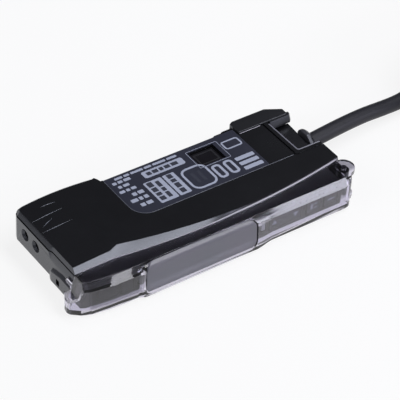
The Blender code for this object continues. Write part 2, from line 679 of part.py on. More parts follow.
def lens_frame():
    """Raised frame round the lens, which swells out of the cover's front and dies away at both ends."""
    back = COVER_FRONT + 0.6
    front = COVER_FRONT - FRAME_PROUD
    full = [(back, COVER_LOW), (front, COVER_LOW), (front, 1.3), (front + 0.35, 7.4), (front + 0.7, 8.3),
            (front + 1.1, 8.85), (front + 1.6, 9.2), (back + 0.4, 8.8)]
    flush = [(back, COVER_LOW), (COVER_FRONT + 0.1, COVER_LOW), (COVER_FRONT + 0.1, 1.3), (COVER_FRONT + 0.1, 7.4),
             (COVER_FRONT + 0.18, 7.6), (COVER_FRONT + 0.4, 7.85), (COVER_FRONT + 0.6, 8.1), (back + 0.4, 8.1)]
    rings = []
    for x, share in FRAME_SWELL:
        rings.append([(x, mix(a[0], b[0], share), mix(a[1], b[1], share)) for a, b in zip(flush, full)])
    return loft("lens_frame", rings, SMOKE)


def lens_shape(name, grow, y0, y1):
    """The lens's outline with rounded corners, seen from the front and drawn out along Y."""
    low = LENS_LOW - grow
    high = LENS_TOP + grow
    outline = []
    for i, r in enumerate(LENS_CORNERS):
        r = r + grow
        x = LENS_RIGHT + grow - r if i < 2 else LENS_LEFT - grow + r
        z = high - r if i in (1, 2) else low + r
        outline += arc(x, z, r, 90 * i - 90, 90 * i, 5)
    rings = [[(x, y, z) for x, z in outline] for y in (y0, y1)]
    return loft(name, rings, SMOKE)


def cover_hollow():
    """The room inside the cover, open toward the body."""
    front = COVER_FRONT + COVER_WALL
    outline = [(COVER_TIP + 1.35, -11.3), (COVER_TIP + 1.15, -12.4), (COVER_TIP + 1.35, -12.7),
               (COVER_TIP + 2.9, -13.9), (COVER_TIP + 4.8, -14.9), (-32.7, -15.45), (-24.7, front),
               (HINGE_X - 1.5, front), (HINGE_X - 1.5, -8.0), (END_LEFT - COVER_SEAM + 0.05, -8.0),
               (END_LEFT - COVER_SEAM + 0.05, EDGE_FLAT)]
    lean = [0.0, 0.3, 0.5, 0.9, 0.9, 0.9, 0.9, 0.9, 0.0, 0.0, 0.0]
    z0 = COVER_LOW + COVER_WALL - 0.1
    z2 = COVER_HIGH - COVER_WALL + 0.1
    z1 = z2 - COVER_BEVEL_DROP + 0.8
    rings = [[(x, y, z0) for x, y in outline], [(x, y, z1) for x, y in outline]]
    rings.append([(x, y + d, z2) for (x, y), d in zip(outline, lean)])
    hollow = loft("cover_hollow", rings, SMOKE)
    return cut(hollow, tip_wedge("hollow_wedge", END_WALL))


def display_window():
    """Clear lens over both read-outs, rounded over at its top edge."""
    front = COVER_FRONT - LENS_PROUD
    back = COVER_FRONT + COVER_WALL
    profile = [(back, LENS_LOW), (front + 0.15, LENS_LOW), (front, LENS_LOW + 0.25), (front + 0.4, 7.9),
               (front + 0.5, 8.5), (front + 0.85, 9.0), (front + 1.4, 9.32), (back + 0.05, LENS_TOP),
               (back + 0.05, 8.3), (back, 8.2)]
    lens = bar("display_window", profile, LENS_LEFT, LENS_RIGHT, LENS)
    return combine(lens, lens_shape("lens_corners", 0.0, front - 1, back + 1), "INTERSECT")


def panel_edge():
    """Front of the panel in plan, from its left end to its right end."""
    return [(PANEL_LEFT, -13.6), (-38.2, -14.2), (-33.0, -14.75), (-25.0, PANEL_FRONT), (PANEL_RIGHT, PANEL_FRONT)]


def operation_panel():
    """Display-side bezel: a channel open to the body, with openings for keys and read-outs."""
    front = panel_edge()
    wing = EDGE_FLAT - COVER_SEAM - 0.35
    outline = front + [(PANEL_RIGHT, PANEL_BACK), (PANEL_REAR_LEFT, PANEL_BACK), (PANEL_REAR_LEFT, wing),
                       (PANEL_LEFT, wing)]
    panel = prism("operation_panel", outline, PANEL_LOW, PANEL_HIGH, BLACK)
    inner_front = [(x, y + PANEL_WALL) for x, y in front[1:-1]]
    inner_front[0] = (PANEL_REAR_LEFT + PANEL_WALL, inner_front[0][1])
    inner = inner_front + [(PANEL_RIGHT - PANEL_WALL, PANEL_FRONT + PANEL_WALL),
                           (PANEL_RIGHT - PANEL_WALL, PANEL_BACK + 3), (PANEL_REAR_LEFT + PANEL_WALL, PANEL_BACK + 3)]
    hollow = prism("panel_hollow", inner, PANEL_LOW + 0.8, PANEL_HIGH - 0.8, BLACK)
    cut(panel, hollow, tip_wedge("panel_trim", END_WALL + 0.9))
    for name, x0, x1, z0, z1 in openings_in_panel():
        cut(panel, box(name + "_way", (x0, -20, z0), (x1, PANEL_FRONT + PANEL_WALL + 2.6, z1), BLACK))
    return panel


# Keys and read-outs on the panel: left end, right end, half height
KEYS = {
    "lock_button": (-35.4, -30.6, 1.9),
    "release_button": (-29.4, -26.2, 1.9),
    "tune_button": (-21.2, -17.2, 2.0),
    "up_down_key": (13.6, 23.4, 2.0),
    "light_dark_button": (25.4, 29.4, 2.0),
    "mode_button": (30.8, 34.8, 2.0),
}
READOUTS = {
    "threshold_display": (-14.6, -4.0, 2.3),
    "incident_display": (-2.6, 8.6, 2.3),
}
LIGHTS = {
    "output_light_guide": (-24.6, -23.4, 1.2),
    "status_light_guide": (11.0, 12.2, 1.2),
}


def openings_in_panel():
    for group in (KEYS, READOUTS, LIGHTS):
        for name, (x0, x1, half) in group.items():
            yield name, x0 - GAP, x1 + GAP, MID_Z - half - GAP, MID_Z + half + GAP


def panel_front_at(x):
    """How far out the panel's face is at a place along it."""
    stations = panel_edge()
    for (xa, ya), (xb, yb) in zip(stations, stations[1:]):
        if x <= xb:
            return mix(ya, yb, (x - xa) / (xb - xa))
    return PANEL_FRONT


def key(name, back_y):
    """A push key with rounded face and a stem toward its switch."""
    x0, x1, half = KEYS[name]
    y_left = panel_front_at(x0) - KEY_PROUD
    y_right = panel_front_at(x1) - KEY_PROUD
    middle = (x0 + x1) / 2
    outline = [(x0, y_left), (x1, y_right), (x1, back_y), (x0, back_y)]
    cap = prism(name, outline, MID_Z - half, MID_Z + half, KEY, (middle, back_y, MID_Z))
    return bevel(cap, 0.35, 3)


def rocker_key():
    """Up and down key: one cap rocking on a rib at its middle."""
    x0, x1, half = KEYS["up_down_key"]
    middle = (x0 + x1) / 2
    y0 = PANEL_FRONT - KEY_PROUD
    back = SWITCH_FRONT - 0.45
    outline = [(x0, y0 - 0.05), (mix(x0, middle, 0.6), y0 + 0.12), (mix(x1, middle, 0.6), y0 + 0.12),
               (x1, y0 - 0.05), (x1, back), (x0, back)]
    cap = prism("up_down_key", outline, MID_Z - half, MID_Z + half, KEY, (middle, back, MID_Z))
    bevel(cap, 0.3, 2)
    return cap


def panel_pieces():
    """Keys, read-outs, light guides and their switches along the display board."""
    back = SWITCH_FRONT - 0.45
    for name in ("tune_button", "light_dark_button", "mode_button"):
        key(name, back)
    key("lock_button", -10.4)
    key("release_button", -10.6)
    rocker_key()
    for name, (x0, x1, half) in READOUTS.items():
        body = box(name, (x0, PANEL_FRONT + 0.35, MID_Z - half), (x1, DISPLAY_BOARD_FRONT - GAP, MID_Z + half), DIGITS)
        bevel(body, 0.2, 1)
    for name, (x0, x1, half) in LIGHTS.items():
        guide = box(name, (x0, panel_front_at(x0) - 0.05, MID_Z - half),
                    (x1, DISPLAY_BOARD_FRONT - GAP, MID_Z + half), CLEAR)
        bevel(guide, 0.2, 2)
    up_x = KEYS["up_down_key"][0] + 1.9
    down_x = KEYS["up_down_key"][1] - 1.9
    places = {
        "tune_switch": sum(KEYS["tune_button"][:2]) / 2,
        "up_switch": up_x,
        "down_switch": down_x,
        "light_dark_switch": sum(KEYS["light_dark_button"][:2]) / 2,
        "mode_switch": sum(KEYS["mode_button"][:2]) / 2,
    }
    for name, x in places.items():
        tact_switch(name, x)


def tact_switch(name, x):
    """Square tact switch with a round plunger, facing the key in front of it."""
    body = box(name, (x - 1.6, SWITCH_FRONT + 0.5, MID_Z - 1.6), (x + 1.6, DISPLAY_BOARD_FRONT - GAP, MID_Z + 1.6), SWITCH)
    bevel(body, 0.15, 1)
    plunger = rod(name + "_plunger", (x, SWITCH_FRONT, MID_Z), 0.9, 0.8, "Y", SWITCH, 16)
    return join(body, plunger)


def boards():
    """Main board flat in the tray, display board standing behind the panel, and their connector."""
    main = box("main_board", (-22.0, PANEL_BACK + 0.5, BOARD_Z), (36.8, 11.2, BOARD_Z + BOARD_THICK), BOARD)
    slot = box("board_slot", (PORT_X - 2, PORT_Y - 2, 2.0), (PORT_X + PORT_LONG + 2, PORT_Y + 20, 6.0), BOARD)
    cut(main, slot)
    x1 = PANEL_RIGHT - PANEL_WALL - GAP
    y0 = DISPLAY_BOARD_FRONT
    box("display_board", (-25.4, y0, 2.9), (x1, y0 + BOARD_THICK, 7.1), BOARD)
    upper = BOARD_Z + BOARD_THICK + GAP
    box("board_connector", (-1.0, y0 + BOARD_THICK + GAP, upper), (9.0, -4.4, 6.6), SWITCH)
    chip = box("processor_chip", (-11.0, -3.5, upper), (-4.0, 3.5, upper + 1.2), CHIP)
    bevel(chip, 0.2, 1)
    driver = box("output_driver", (21.0, 1.0, upper), (26.0, 5.0, upper + 1.5), CHIP)
    bevel(driver, 0.2, 1)


def fibre_unit():
    """Holder block with two bores, the clamp across them, the emitter and the receiver."""
    y_high = FIBRE_Y[0] + 2.4
    y_low = FIBRE_Y[1] - 2.6
    holder = box("fibre_holder", (HOLDER_LEFT, y_low, WALL + GAP), (HOLDER_RIGHT, y_high, FIBRE_Z + 2.6), BLACK)
    bevel(holder, 0.3, 1)
    for i, y in enumerate(FIBRE_Y):
        cut(holder, rod(f"holder_bore_{i}", (HOLDER_LEFT - 1, y, FIBRE_Z), FIBRE_HOLE_R, 14, "X", BLACK))
    cut(holder, box("clamp_slot", (CLAMP_X - 0.4, y_low - 1, CLAMP_LOW - GAP),
                    (CLAMP_X + CLAMP_WIDE + 0.4, y_high + 1, THICK), BLACK))
    clamp = box("fibre_clamp", (CLAMP_X, PANEL_BACK + 0.5, CLAMP_LOW),
                (CLAMP_X + CLAMP_WIDE, FIBRE_Y[0] + 1.6, CLAMP_LOW + 0.95), KEY)
    arm = box("clamp_arm", (CLAMP_X, -9.9, CLAMP_LOW - 0.9), (CLAMP_X + CLAMP_WIDE, -6.0, CLAMP_LOW + 0.15), KEY)
    join(clamp, arm)
    y = FIBRE_Y[0]
    x0 = HOLDER_RIGHT + GAP
    can = rod("emitter_led", (x0, y, FIBRE_Z), 1.5, 2.6, "X", CLEAR, 20)
    join(can, rod("emitter_base", (x0 + 2.4, y, FIBRE_Z), 1.9, 0.8, "X", CLEAR, 20))
    y = FIBRE_Y[1]
    diode = rod("receiver_photodiode", (x0, y, FIBRE_Z), 1.5, 2.2, "X", CLEAR, 20)
    join(diode, rod("receiver_base", (x0 + 2.0, y, FIBRE_Z), 1.7, 0.8, "X", CLEAR, 20))
    shield = box("receiver_shield", (x0, y - 2.3, FIBRE_Z - 2.4), (x0 + 3.9, y + 2.3, FIBRE_Z + 2.4), STEEL)
    room = box("shield_room", (x0 - 1, y - 2.0, FIBRE_Z - 2.1), (x0 + 3.6, y + 2.0, FIBRE_Z + 2.1), STEEL)
    cut(shield, room)


def hinge_pin():
    low = COVER_LOW + EAR_SKIN + PIN_CLEAR
    rod("hinge_pin", (HINGE_X, HINGE_Y, low), PIN_R, COVER_HIGH + COVER_LOW - 2 * low, "Z", STEEL,
        20, (HINGE_X, HINGE_Y, low))


# Cable
HANK_LEFT = 82.0
HANK_RUN = 81.0
HANK_INNER_MID = 12.6
HANK_COLUMNS = 2
HANK_LAYERS = 4
HANK_BASE = 1.1
HANK_SOFT = 1.3
TIE_X = 116.0
TIE_WIDE = 2.6
TIE_THICK = 0.7
TUBE_STEP = 8.0
TUBE_ROUTE = [(42.75, 5.2, 4.9), (49.4, 5.95, 4.85), (56.0, 6.75, 4.6), (62.3, 7.45, 4.1), (69.0, 8.0, 3.3),
              (75.5, 8.65, 2.75), (82.8, 10.2, 2.7)]
TAIL_ANGLES = (60, 30, 0, -30, -60, -90)
TAIL_TO = 155.0
LEADS_LONG = 20.0


def smooth_line(route, step):
    """Points read at even steps from a Catmull-Rom curve through a route."""
    ends = [2 * Vector(route[0]) - Vector(route[1])]
    knots = ends + [Vector(p) for p in route] + [2 * Vector(route[-1]) - Vector(route[-2])]
    fine = []
    for a, b, c, d in zip(knots, knots[1:], knots[2:], knots[3:]):
        for i in range(20):
            t = i / 20
            fine.append(0.5 * ((2 * b) + (c - a) * t + (2 * a - 5 * b + 4 * c - d) * t**2
                               + (3 * b - a - 3 * c + d) * t**3))
    fine.append(knots[-2])
    length = sum((q - p).length for p, q in zip(fine, fine[1:]))
    count = max(2, round(length / step))
    wanted = [length * i / count for i in range(count + 1)]
    line = [fine[0]]
    run = 0.0
    k = 1
    for p, q in zip(fine, fine[1:]):
        piece = (q - p).length
        while k < count and run + piece >= wanted[k]:
            line.append(p.lerp(q, (wanted[k] - run) / piece))
            k += 1
        run += piece
    line.append(fine[-1])
    return line


def tube(name, line, radius, mat, sides=2):
    curve = bpy.data.curves.new(name, "CURVE")
    curve.dimensions = "3D"
    curve.bevel_depth = radius * MM
    curve.bevel_resolution = sides
    curve.use_fill_caps = True
    spline = curve.splines.new("POLY")
    spline.points.add(len(line) - 1)
    for point, place_mm in zip(spline.points, line):
        point.co = (*(Vector(place_mm) * MM), 1)
    curve.materials.append(mat)
    made = bpy.data.objects.new(name, curve)
    bpy.context.scene.collection.objects.link(made)
    return made


LEADS = {
    "lead_brown": (0.12, 0.045, 0.02),
    "lead_blue": (0.02, 0.08, 0.35),
    "lead_black": (0.02, 0.02, 0.02),
    "lead_orange": (0.7, 0.2, 0.02),
    "lead_pink": (0.7, 0.25, 0.35),
}
LEAD_R = 0.6
LEAD_RING = 1.25
LEAD_PITCH = 1.5


def hank_sizes():
    """Radii and height of the bundle: inside, outside, its top, and the two arc centres."""
    inside = HANK_INNER_MID - CABLE_R
    outside = inside + 2 * CABLE_R * HANK_COLUMNS
    top = HANK_BASE + 2 * CABLE_R * HANK_LAYERS
    centre = HANK_LEFT + outside
    return inside, outside, top, centre, centre + HANK_RUN


def stadium(radius, z):
    """Outline with round ends about the hank's two arc centres."""
    _, _, _, left, right = hank_sizes()
    ring = [(x, y, z) for x, y in arc(right, 0, radius, -90, 90, 14)]
    return ring + [(x, y, z) for x, y in arc(left, 0, radius, 90, 270, 14)]


def hank():
    """Outer shape of the folded bundle of turns, with its open middle."""
    inside, outside, top, _, _ = hank_sizes()
    rings = [stadium(outside - HANK_SOFT, HANK_BASE), stadium(outside, HANK_BASE + HANK_SOFT),
             stadium(outside, top - HANK_SOFT), stadium(outside - HANK_SOFT, top)]
    bundle = loft("cable_hank", rings, SHEATH)
    middle = loft("hank_middle", [stadium(inside, HANK_BASE - 1), stadium(inside, top + 1)], SHEATH)
    return cut(bundle, middle)


def tie():
    """Flat strap round one side of the bundle."""
    inside, outside, top, _, _ = hank_sizes()
    y0 = -outside - GAP
    y1 = -inside + GAP
    z0 = HANK_BASE - GAP
    z1 = top + GAP
    strap = box("hank_tie", (TIE_X, y0 - TIE_THICK, z0 - TIE_THICK),
                (TIE_X + TIE_WIDE, y1 + TIE_THICK, z1 + TIE_THICK), KEY)
    bevel(strap, 0.3, 1)
    return cut(strap, box("tie_room", (TIE_X - 2, y0, z0), (TIE_X + TIE_WIDE + 2, y1, z1), KEY))


def cable():
    """Free cable, its hank and tie, and its tail lying on top with five leads."""
    tube("cable_tube", smooth_line(TUBE_ROUTE, TUBE_STEP), CABLE_R, SHEATH, 3)
    hank()
    tie()
    inside, outside, top, _, right = hank_sizes()
    middle = (inside + outside) / 2
    level = top + GAP + CABLE_R
    route = []
    for degrees in TAIL_ANGLES:
        a = math.radians(degrees)
        route.append((right + middle * math.cos(a), middle * math.sin(a), level))
    route += [(mix(right, TAIL_TO, 0.5), -middle, level), (TAIL_TO, -middle, level)]
    tube("cable_tail", smooth_line(route, TUBE_STEP), CABLE_R, SHEATH, 3)
    low = top + GAP + LEAD_R
    for k, (name, colour) in enumerate(LEADS.items()):
        spread = k - 2
        turn = math.radians((162, 234, 90, 306, 18)[k])
        x0 = TAIL_TO - GAP - 0.15
        x1 = TAIL_TO - LEADS_LONG - 5.0 + 2.0 * abs(spread) + k
        route = [(x0, LEAD_RING * math.cos(turn) - middle, level + LEAD_RING * math.sin(turn)),
                 (mix(x0, x1, 0.3), LEAD_PITCH * spread - middle, low + 0.25 * (1 + math.sin(turn))),
                 (mix(x0, x1, 0.6), 1.1 * LEAD_PITCH * spread - middle, low),
                 (x1, 1.2 * LEAD_PITCH * spread - middle, low)]
        tube(name, smooth_line(route, 1.8), LEAD_R, material(name, colour, 0.5), 2)


main_case()
side_cover()
side_label()
link_window("link_window", SPLIT - 0.75, SPLIT - 0.15, SPLIT - 0.3, THICK - 0.9)
link_window("link_window_under", WALL + GAP, WALL + GAP + 0.6, 0.75, WALL + GAP + 0.3)
cable_bush()
rail_slider()
slider_spring()
protective_cover()
display_window()
hinge_pin()
operation_panel()
panel_pieces()
boards()
fibre_unit()
cable()
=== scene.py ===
# %% [markdown]
# # A fibre optic sensor amplifier lying on its side
# The real thing is a slim black box that clips on a rail in a control cabinet. Two light
# fibres plug into its left end, a smoke coloured cover hinges over its read-outs and
# keys, and a round cable leaves it on the right. Shapes that carry or move come from the
# packed CAD model, so this file only dresses them: finishes, prints, the real cable,
# light and a camera. Blender starts with a cube, a lamp and a camera of its own, and
# they go first, so that the measured box is the part's alone.

import json
import math

import bmesh
import bpy
from mathutils import Matrix, Vector

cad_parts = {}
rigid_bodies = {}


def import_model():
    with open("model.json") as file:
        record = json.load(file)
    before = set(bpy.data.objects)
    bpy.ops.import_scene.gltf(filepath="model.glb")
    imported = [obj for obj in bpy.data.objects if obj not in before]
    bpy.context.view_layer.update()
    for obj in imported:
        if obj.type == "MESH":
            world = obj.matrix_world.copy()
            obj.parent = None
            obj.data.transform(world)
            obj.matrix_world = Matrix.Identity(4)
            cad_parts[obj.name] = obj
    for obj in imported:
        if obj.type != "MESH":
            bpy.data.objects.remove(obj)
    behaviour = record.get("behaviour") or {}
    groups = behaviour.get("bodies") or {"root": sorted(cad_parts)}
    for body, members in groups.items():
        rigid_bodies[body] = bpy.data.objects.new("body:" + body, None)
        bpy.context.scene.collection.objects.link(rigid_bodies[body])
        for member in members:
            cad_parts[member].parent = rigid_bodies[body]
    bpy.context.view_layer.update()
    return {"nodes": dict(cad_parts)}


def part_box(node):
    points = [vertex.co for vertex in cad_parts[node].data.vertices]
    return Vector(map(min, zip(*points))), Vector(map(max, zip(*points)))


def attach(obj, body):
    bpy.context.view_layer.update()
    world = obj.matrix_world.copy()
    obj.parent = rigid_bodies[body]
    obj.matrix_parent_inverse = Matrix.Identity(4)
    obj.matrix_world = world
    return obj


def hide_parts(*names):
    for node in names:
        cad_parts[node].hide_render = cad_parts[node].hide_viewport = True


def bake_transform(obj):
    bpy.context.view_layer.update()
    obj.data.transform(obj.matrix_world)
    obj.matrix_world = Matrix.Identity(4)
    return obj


for old in list(bpy.data.objects):
    bpy.data.objects.remove(old)

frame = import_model()
nodes = frame["nodes"]
MM = 0.001

# %% [markdown]
# ## Camera
# The photograph looks down at the part from the front left with a long lens, so its
# edges stay nearly parallel. The camera is built from three angles: how far it stands
# round the part, how high, and how much it rolls. Its axes are the columns of a
# rotation matrix, which is the plainest way to say exactly where a camera looks.

# %% Camera
AZIMUTH, ELEVATION, ROLL = (math.radians(v) for v in (-36.933, 40.0, 3.464))
CAMERA_PLACE = Vector((-227.561, -308.1, 329.099)) * MM
LENS_MM = 182.88


def camera_axes(azimuth, elevation, roll):
    back = Vector((math.sin(azimuth) * math.cos(elevation), -math.cos(azimuth) * math.cos(elevation),
                   math.sin(elevation)))
    right = Vector((math.cos(azimuth), math.sin(azimuth), 0))
    up = back.cross(right)
    rolled_right = right * math.cos(roll) + up * math.sin(roll)
    rolled_up = up * math.cos(roll) - right * math.sin(roll)
    return Matrix((rolled_right, rolled_up, back)).transposed()


lens = bpy.data.cameras.new("studio_camera")
lens.lens = LENS_MM
lens.sensor_width = 36
lens.clip_start = 0.01
camera = bpy.data.objects.new("studio_camera", lens)
camera.matrix_world = Matrix.Translation(CAMERA_PLACE) @ camera_axes(AZIMUTH, ELEVATION, ROLL).to_4x4()
bpy.context.scene.collection.objects.link(camera)
bpy.context.scene.camera = camera
print("camera distance in mm:", round(CAMERA_PLACE.length / MM))

# %% [markdown]
# ## Cable route
# About two metres of round cable are moulded into the case. What the camera doesn't see
# is folded into a hank, as it comes out of the box: four layers of two turns with long
# straight runs, held by a tie. A poly curve through closely spaced points gives full
# control of where each turn lies. One turn takes one place in the bundle, and it changes
# to the next place a little earlier each time, so that no two turns meet. Lengths are in
# millimetres here, while TURNS, CHANGE and RISE_FROM count turns.

# %% Cable sizes
CABLE_R = 2.1
HANK_LEFT_CENTRE = 100.9
HANK_RUN = 81.0
INNER_R = 12.6
OUTER_R = 16.8
TURN_R = (INNER_R + OUTER_R) / 2
LAYERS_Z = (3.2, 7.4, 11.6, 15.8)
ENTRY_ANGLE = 120
CHANGE = 0.09
TURNS = 7.375
RISE_FROM = 7.27
TAIL_Z = 20.2
TAIL_END_X = 155.0
FREE_ROUTE = [(42.1, 5.15, 4.9), (45.5, 5.5, 4.9), (49.4, 5.95, 4.85), (56.0, 6.75, 4.6), (62.3, 7.45, 4.1),
              (69.0, 8.0, 3.3), (75.5, 8.65, 2.75), (82.8, 10.2, 2.75), (88.0, 12.3, 3.05)]
FREE_STEPS = 3
POINTS_PER_TURN = 56
PLACES = [(OUTER_R, 0), (INNER_R, 0), (INNER_R, 1), (OUTER_R, 1), (OUTER_R, 2), (INNER_R, 2), (INNER_R, 3),
          (OUTER_R, 3)]
TURN_LENGTH = 2 * HANK_RUN + 2 * math.pi * TURN_R
print("one turn in mm:", round(TURN_LENGTH, 1))


# %% Points along the hank
def smoothstep(t):
    t = max(0.0, min(1.0, t))
    return t * t * (3 - 2 * t)


def place_at(turn):
    """Radius and height of the cable's centre after a number of turns."""
    radius, layer = PLACES[0]
    height = LAYERS_Z[layer]
    for k, (next_radius, next_layer) in enumerate(PLACES[1:], 1):
        share = smoothstep((turn - k * (1 - CHANGE)) / CHANGE)
        radius += (next_radius - radius) * share
        height += (LAYERS_Z[next_layer] - height) * share
    return radius, height


def on_loop(turn, radius):
    """Point on the long loop, clockwise from where the cable enters at its left end."""
    run = (turn % 1.0) * TURN_LENGTH
    lead_in = math.radians(ENTRY_ANGLE - 90) * TURN_R
    half = math.pi * TURN_R
    right = HANK_LEFT_CENTRE + HANK_RUN
    if run < lead_in:
        angle = math.radians(ENTRY_ANGLE) - run / TURN_R
        return HANK_LEFT_CENTRE + radius * math.cos(angle), radius * math.sin(angle)
    run -= lead_in
    if run < HANK_RUN:
        return HANK_LEFT_CENTRE + run, radius
    run -= HANK_RUN
    if run < half:
        angle = math.pi / 2 - run / TURN_R
        return right + radius * math.cos(angle), radius * math.sin(angle)
    run -= half
    if run < HANK_RUN:
        return right - run, -radius
    run -= HANK_RUN
    angle = -math.pi / 2 - run / TURN_R
    return HANK_LEFT_CENTRE + radius * math.cos(angle), radius * math.sin(angle)


def smooth_route(route, steps):
    """Points on a Catmull-Rom curve through a route, without its last point."""
    knots = [2 * Vector(route[0]) - Vector(route[1])] + [Vector(p) for p in route]
    knots.append(2 * Vector(route[-1]) - Vector(route[-2]))
    line = []
    for a, b, c, d in zip(knots, knots[1:], knots[2:], knots[3:]):
        for i in range(steps):
            t = i / steps
            line.append(0.5 * (2 * b + (c - a) * t + (2 * a - 5 * b + 4 * c - d) * t**2
                               + (3 * b - a - 3 * c + d) * t**3))
    return line


def cable_line():
    """The whole cable in millimetres: free stretch, turns, and the tail that lies on top."""
    entry = on_loop(0.0, OUTER_R)
    line = smooth_route(FREE_ROUTE + [(*entry, LAYERS_Z[0])], FREE_STEPS)
    steps = round(TURNS * POINTS_PER_TURN)
    for i in range(steps + 1):
        turn = TURNS * i / steps
        radius, height = place_at(turn)
        lift = smoothstep((turn - RISE_FROM) / (TURNS - RISE_FROM))
        radius += (TURN_R - radius) * lift**2
        height += (TAIL_Z - height) * lift
        line.append(Vector((*on_loop(turn, radius), height)))
    turn = TURNS
    while True:
        turn += 1 / POINTS_PER_TURN
        x, y = on_loop(turn, TURN_R)
        if y < 0 and x < TAIL_END_X:
            break
        line.append(Vector((x, y, TAIL_Z)))
    line.append(Vector((TAIL_END_X, -TURN_R, TAIL_Z)))
    return line


def length_of(line):
    return sum((q - p).length for p, q in zip(line, line[1:]))


cable_points = cable_line()
cable_length = length_of(cable_points)
print("cable points:", len(cable_points), "length in mm:", round(cable_length))

# %% [markdown] ## The cable as a curve A curve with a round bevel is a tube that stays
# easy to change. It stands for three CAD solids: the free stretch, the plain solid of
# the hank and the tail.


# %% Cable piece
def tube(name, line, radius, sides):
    """A round tube through points in millimetres.

    Its width is in the points' own radius, because that also counts in the curve's box.
    """
    curve = bpy.data.curves.new(name, "CURVE")
    curve.dimensions = "3D"
    curve.bevel_depth = 1.0
    curve.bevel_resolution = sides
    curve.use_fill_caps = True
    spline = curve.splines.new("POLY")
    spline.points.add(len(line) - 1)
    for point, place in zip(spline.points, line):
        point.co = (*(Vector(place) * MM), 1)
        point.radius = radius * MM
    made = bpy.data.objects.new(name, curve)
    bpy.context.scene.collection.objects.link(made)
    return made


cable = tube("sensor_cable", cable_points, CABLE_R, 4)
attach(cable, "case")
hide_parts("cable_tube", "cable_hank", "cable_tail")
cable_points[0] * MM

# %% [markdown]
# ## Shader maths in plain Python
# A material is a graph of nodes, and most of its nodes do sums. Wrapping a socket in a
# small class lets those sums be written as Python expressions: each operator adds one
# Math node. Colours go through a Mix node, because a Math node would turn them grey.
# Every other node comes from the single method `node`, which first sets the node's
# settings and then its sockets.


# %% A socket that Python's operators work on
class Wire:
    """An output socket of a node tree."""

    def __init__(self, tree, socket=None):
        self.tree = tree
        self.socket = socket

    def node(self, kind, settings=None, sockets=None, out=0):
        """Any node: settings first, then values or links for its sockets; gives back one output."""
        made = self.tree.nodes.new(kind)
        for name, value in (settings or {}).items():
            setattr(made, name, value)
        for key, value in (sockets or {}).items():
            if isinstance(value, Wire):
                self.tree.links.new(value.socket, made.inputs[key])
            else:
                made.inputs[key].default_value = value
        return Wire(self.tree, made.outputs[out])

    def math(self, operation, first, second):
        return self.node("ShaderNodeMath", {"operation": operation}, {0: first, 1: second})

    def __add__(self, other):
        return self.math("ADD", self, other)

    def __radd__(self, other):
        return self.math("ADD", other, self)

    def __sub__(self, other):
        return self.math("SUBTRACT", self, other)

    def __rsub__(self, other):
        return self.math("SUBTRACT", other, self)

    def __mul__(self, other):
        return self.math("MULTIPLY", self, other)

    def __rmul__(self, other):
        return self.math("MULTIPLY", other, self)

    def clamped(self):
        return self.node("ShaderNodeClamp", None, {0: self})


print("socket class ready:", Wire.__doc__)


# %% [markdown]
# ## A finish
# Each finish is one Principled shader. Numbers that stay the same all over the surface
# are typed on the shader itself. What varies, such as a mottled roughness or the fine
# spark eroded grain of a mould, is linked. Object coordinates are in metres here, so a
# noise scale of 5000 means grains of about a fifth of a millimetre.

# %% Helpers for finishes
def finish(name, constants):
    """A new material with its Principled shader's fixed values, and a wire to start from."""
    mat = bpy.data.materials.new(name)
    mat.use_nodes = True
    shader = mat.node_tree.nodes["Principled BSDF"]
    for key, value in constants.items():
        shader.inputs[key].default_value = value
    return mat, shader, Wire(mat.node_tree)


def feed(shader, **wires):
    for key, wire in wires.items():
        wire.tree.links.new(wire.socket, shader.inputs[key.replace("_", " ")])


def object_place(start):
    return start.node("ShaderNodeTexCoord", out=3)


def noise(start, scale, detail=2.0, roughness=0.5):
    sockets = {"Vector": object_place(start), "Scale": scale, "Detail": detail, "Roughness": roughness}
    return start.node("ShaderNodeTexNoise", {"noise_dimensions": "3D"}, sockets)


def blend(start, share, first, second):
    """Colour between two colours or wires."""
    return start.node("ShaderNodeMix", {"data_type": "RGBA"}, {0: share, 6: first, 7: second}, out=2)


def bump(start, height, strength, depth_mm):
    sockets = {"Strength": strength, "Distance": depth_mm * MM, "Height": height}
    return start.node("ShaderNodeBump", None, sockets)


def grey(level, tint=1.0):
    """A neutral colour with a touch more or less blue."""
    return level, level, level * tint, 1.0


def climb(start, value, zero_at, one_at):
    """From 0 to 1 between two values in millimetres, for a wire in metres."""
    sockets = {"Value": value, "From Min": zero_at * MM, "From Max": one_at * MM}
    return start.node("ShaderNodeMapRange", None, sockets)


def band(start, value, low, high, soft=0.1):
    """1 where a wire in metres lies between two values in millimetres, 0 elsewhere."""
    return climb(start, value, low - soft, low) * climb(start, value, high + soft, high)


def axes(start, origin):
    """The shared frame's x, y and z in metres, on an object whose origin is given."""
    place = start.node("ShaderNodeVectorMath", {"operation": "ADD"}, {0: object_place(start), 1: origin})
    return [start.node("ShaderNodeSeparateXYZ", None, {0: place}, out=i) for i in range(3)]


def put_on(mat, *names):
    """Gives CAD nodes a new finish in place of the plain one that came with them."""
    for name in names:
        mesh = nodes[name].data
        mesh.materials.clear()
        mesh.materials.append(mat)


print("finishes can be made")

# %% [markdown]
# ## Black moulded plastic
# The case, the rail slider and the cable's strain relief are glass filled nylon or ABS
# from a spark eroded mould: nearly black, satin, with a very fine grain that breaks up
# highlights. A low contrast cloud in the colour and the roughness keeps large faces
# from looking like paint. The lid is a moulding of its own with the case's look.

# %% Black moulded plastic
COOL_SHEEN = (0.86, 0.89, 1, 1)
CASE_LOOK = {"level": 0.0065, "rough": 0.25, "grain": 0.06, "gloss": 0.85}


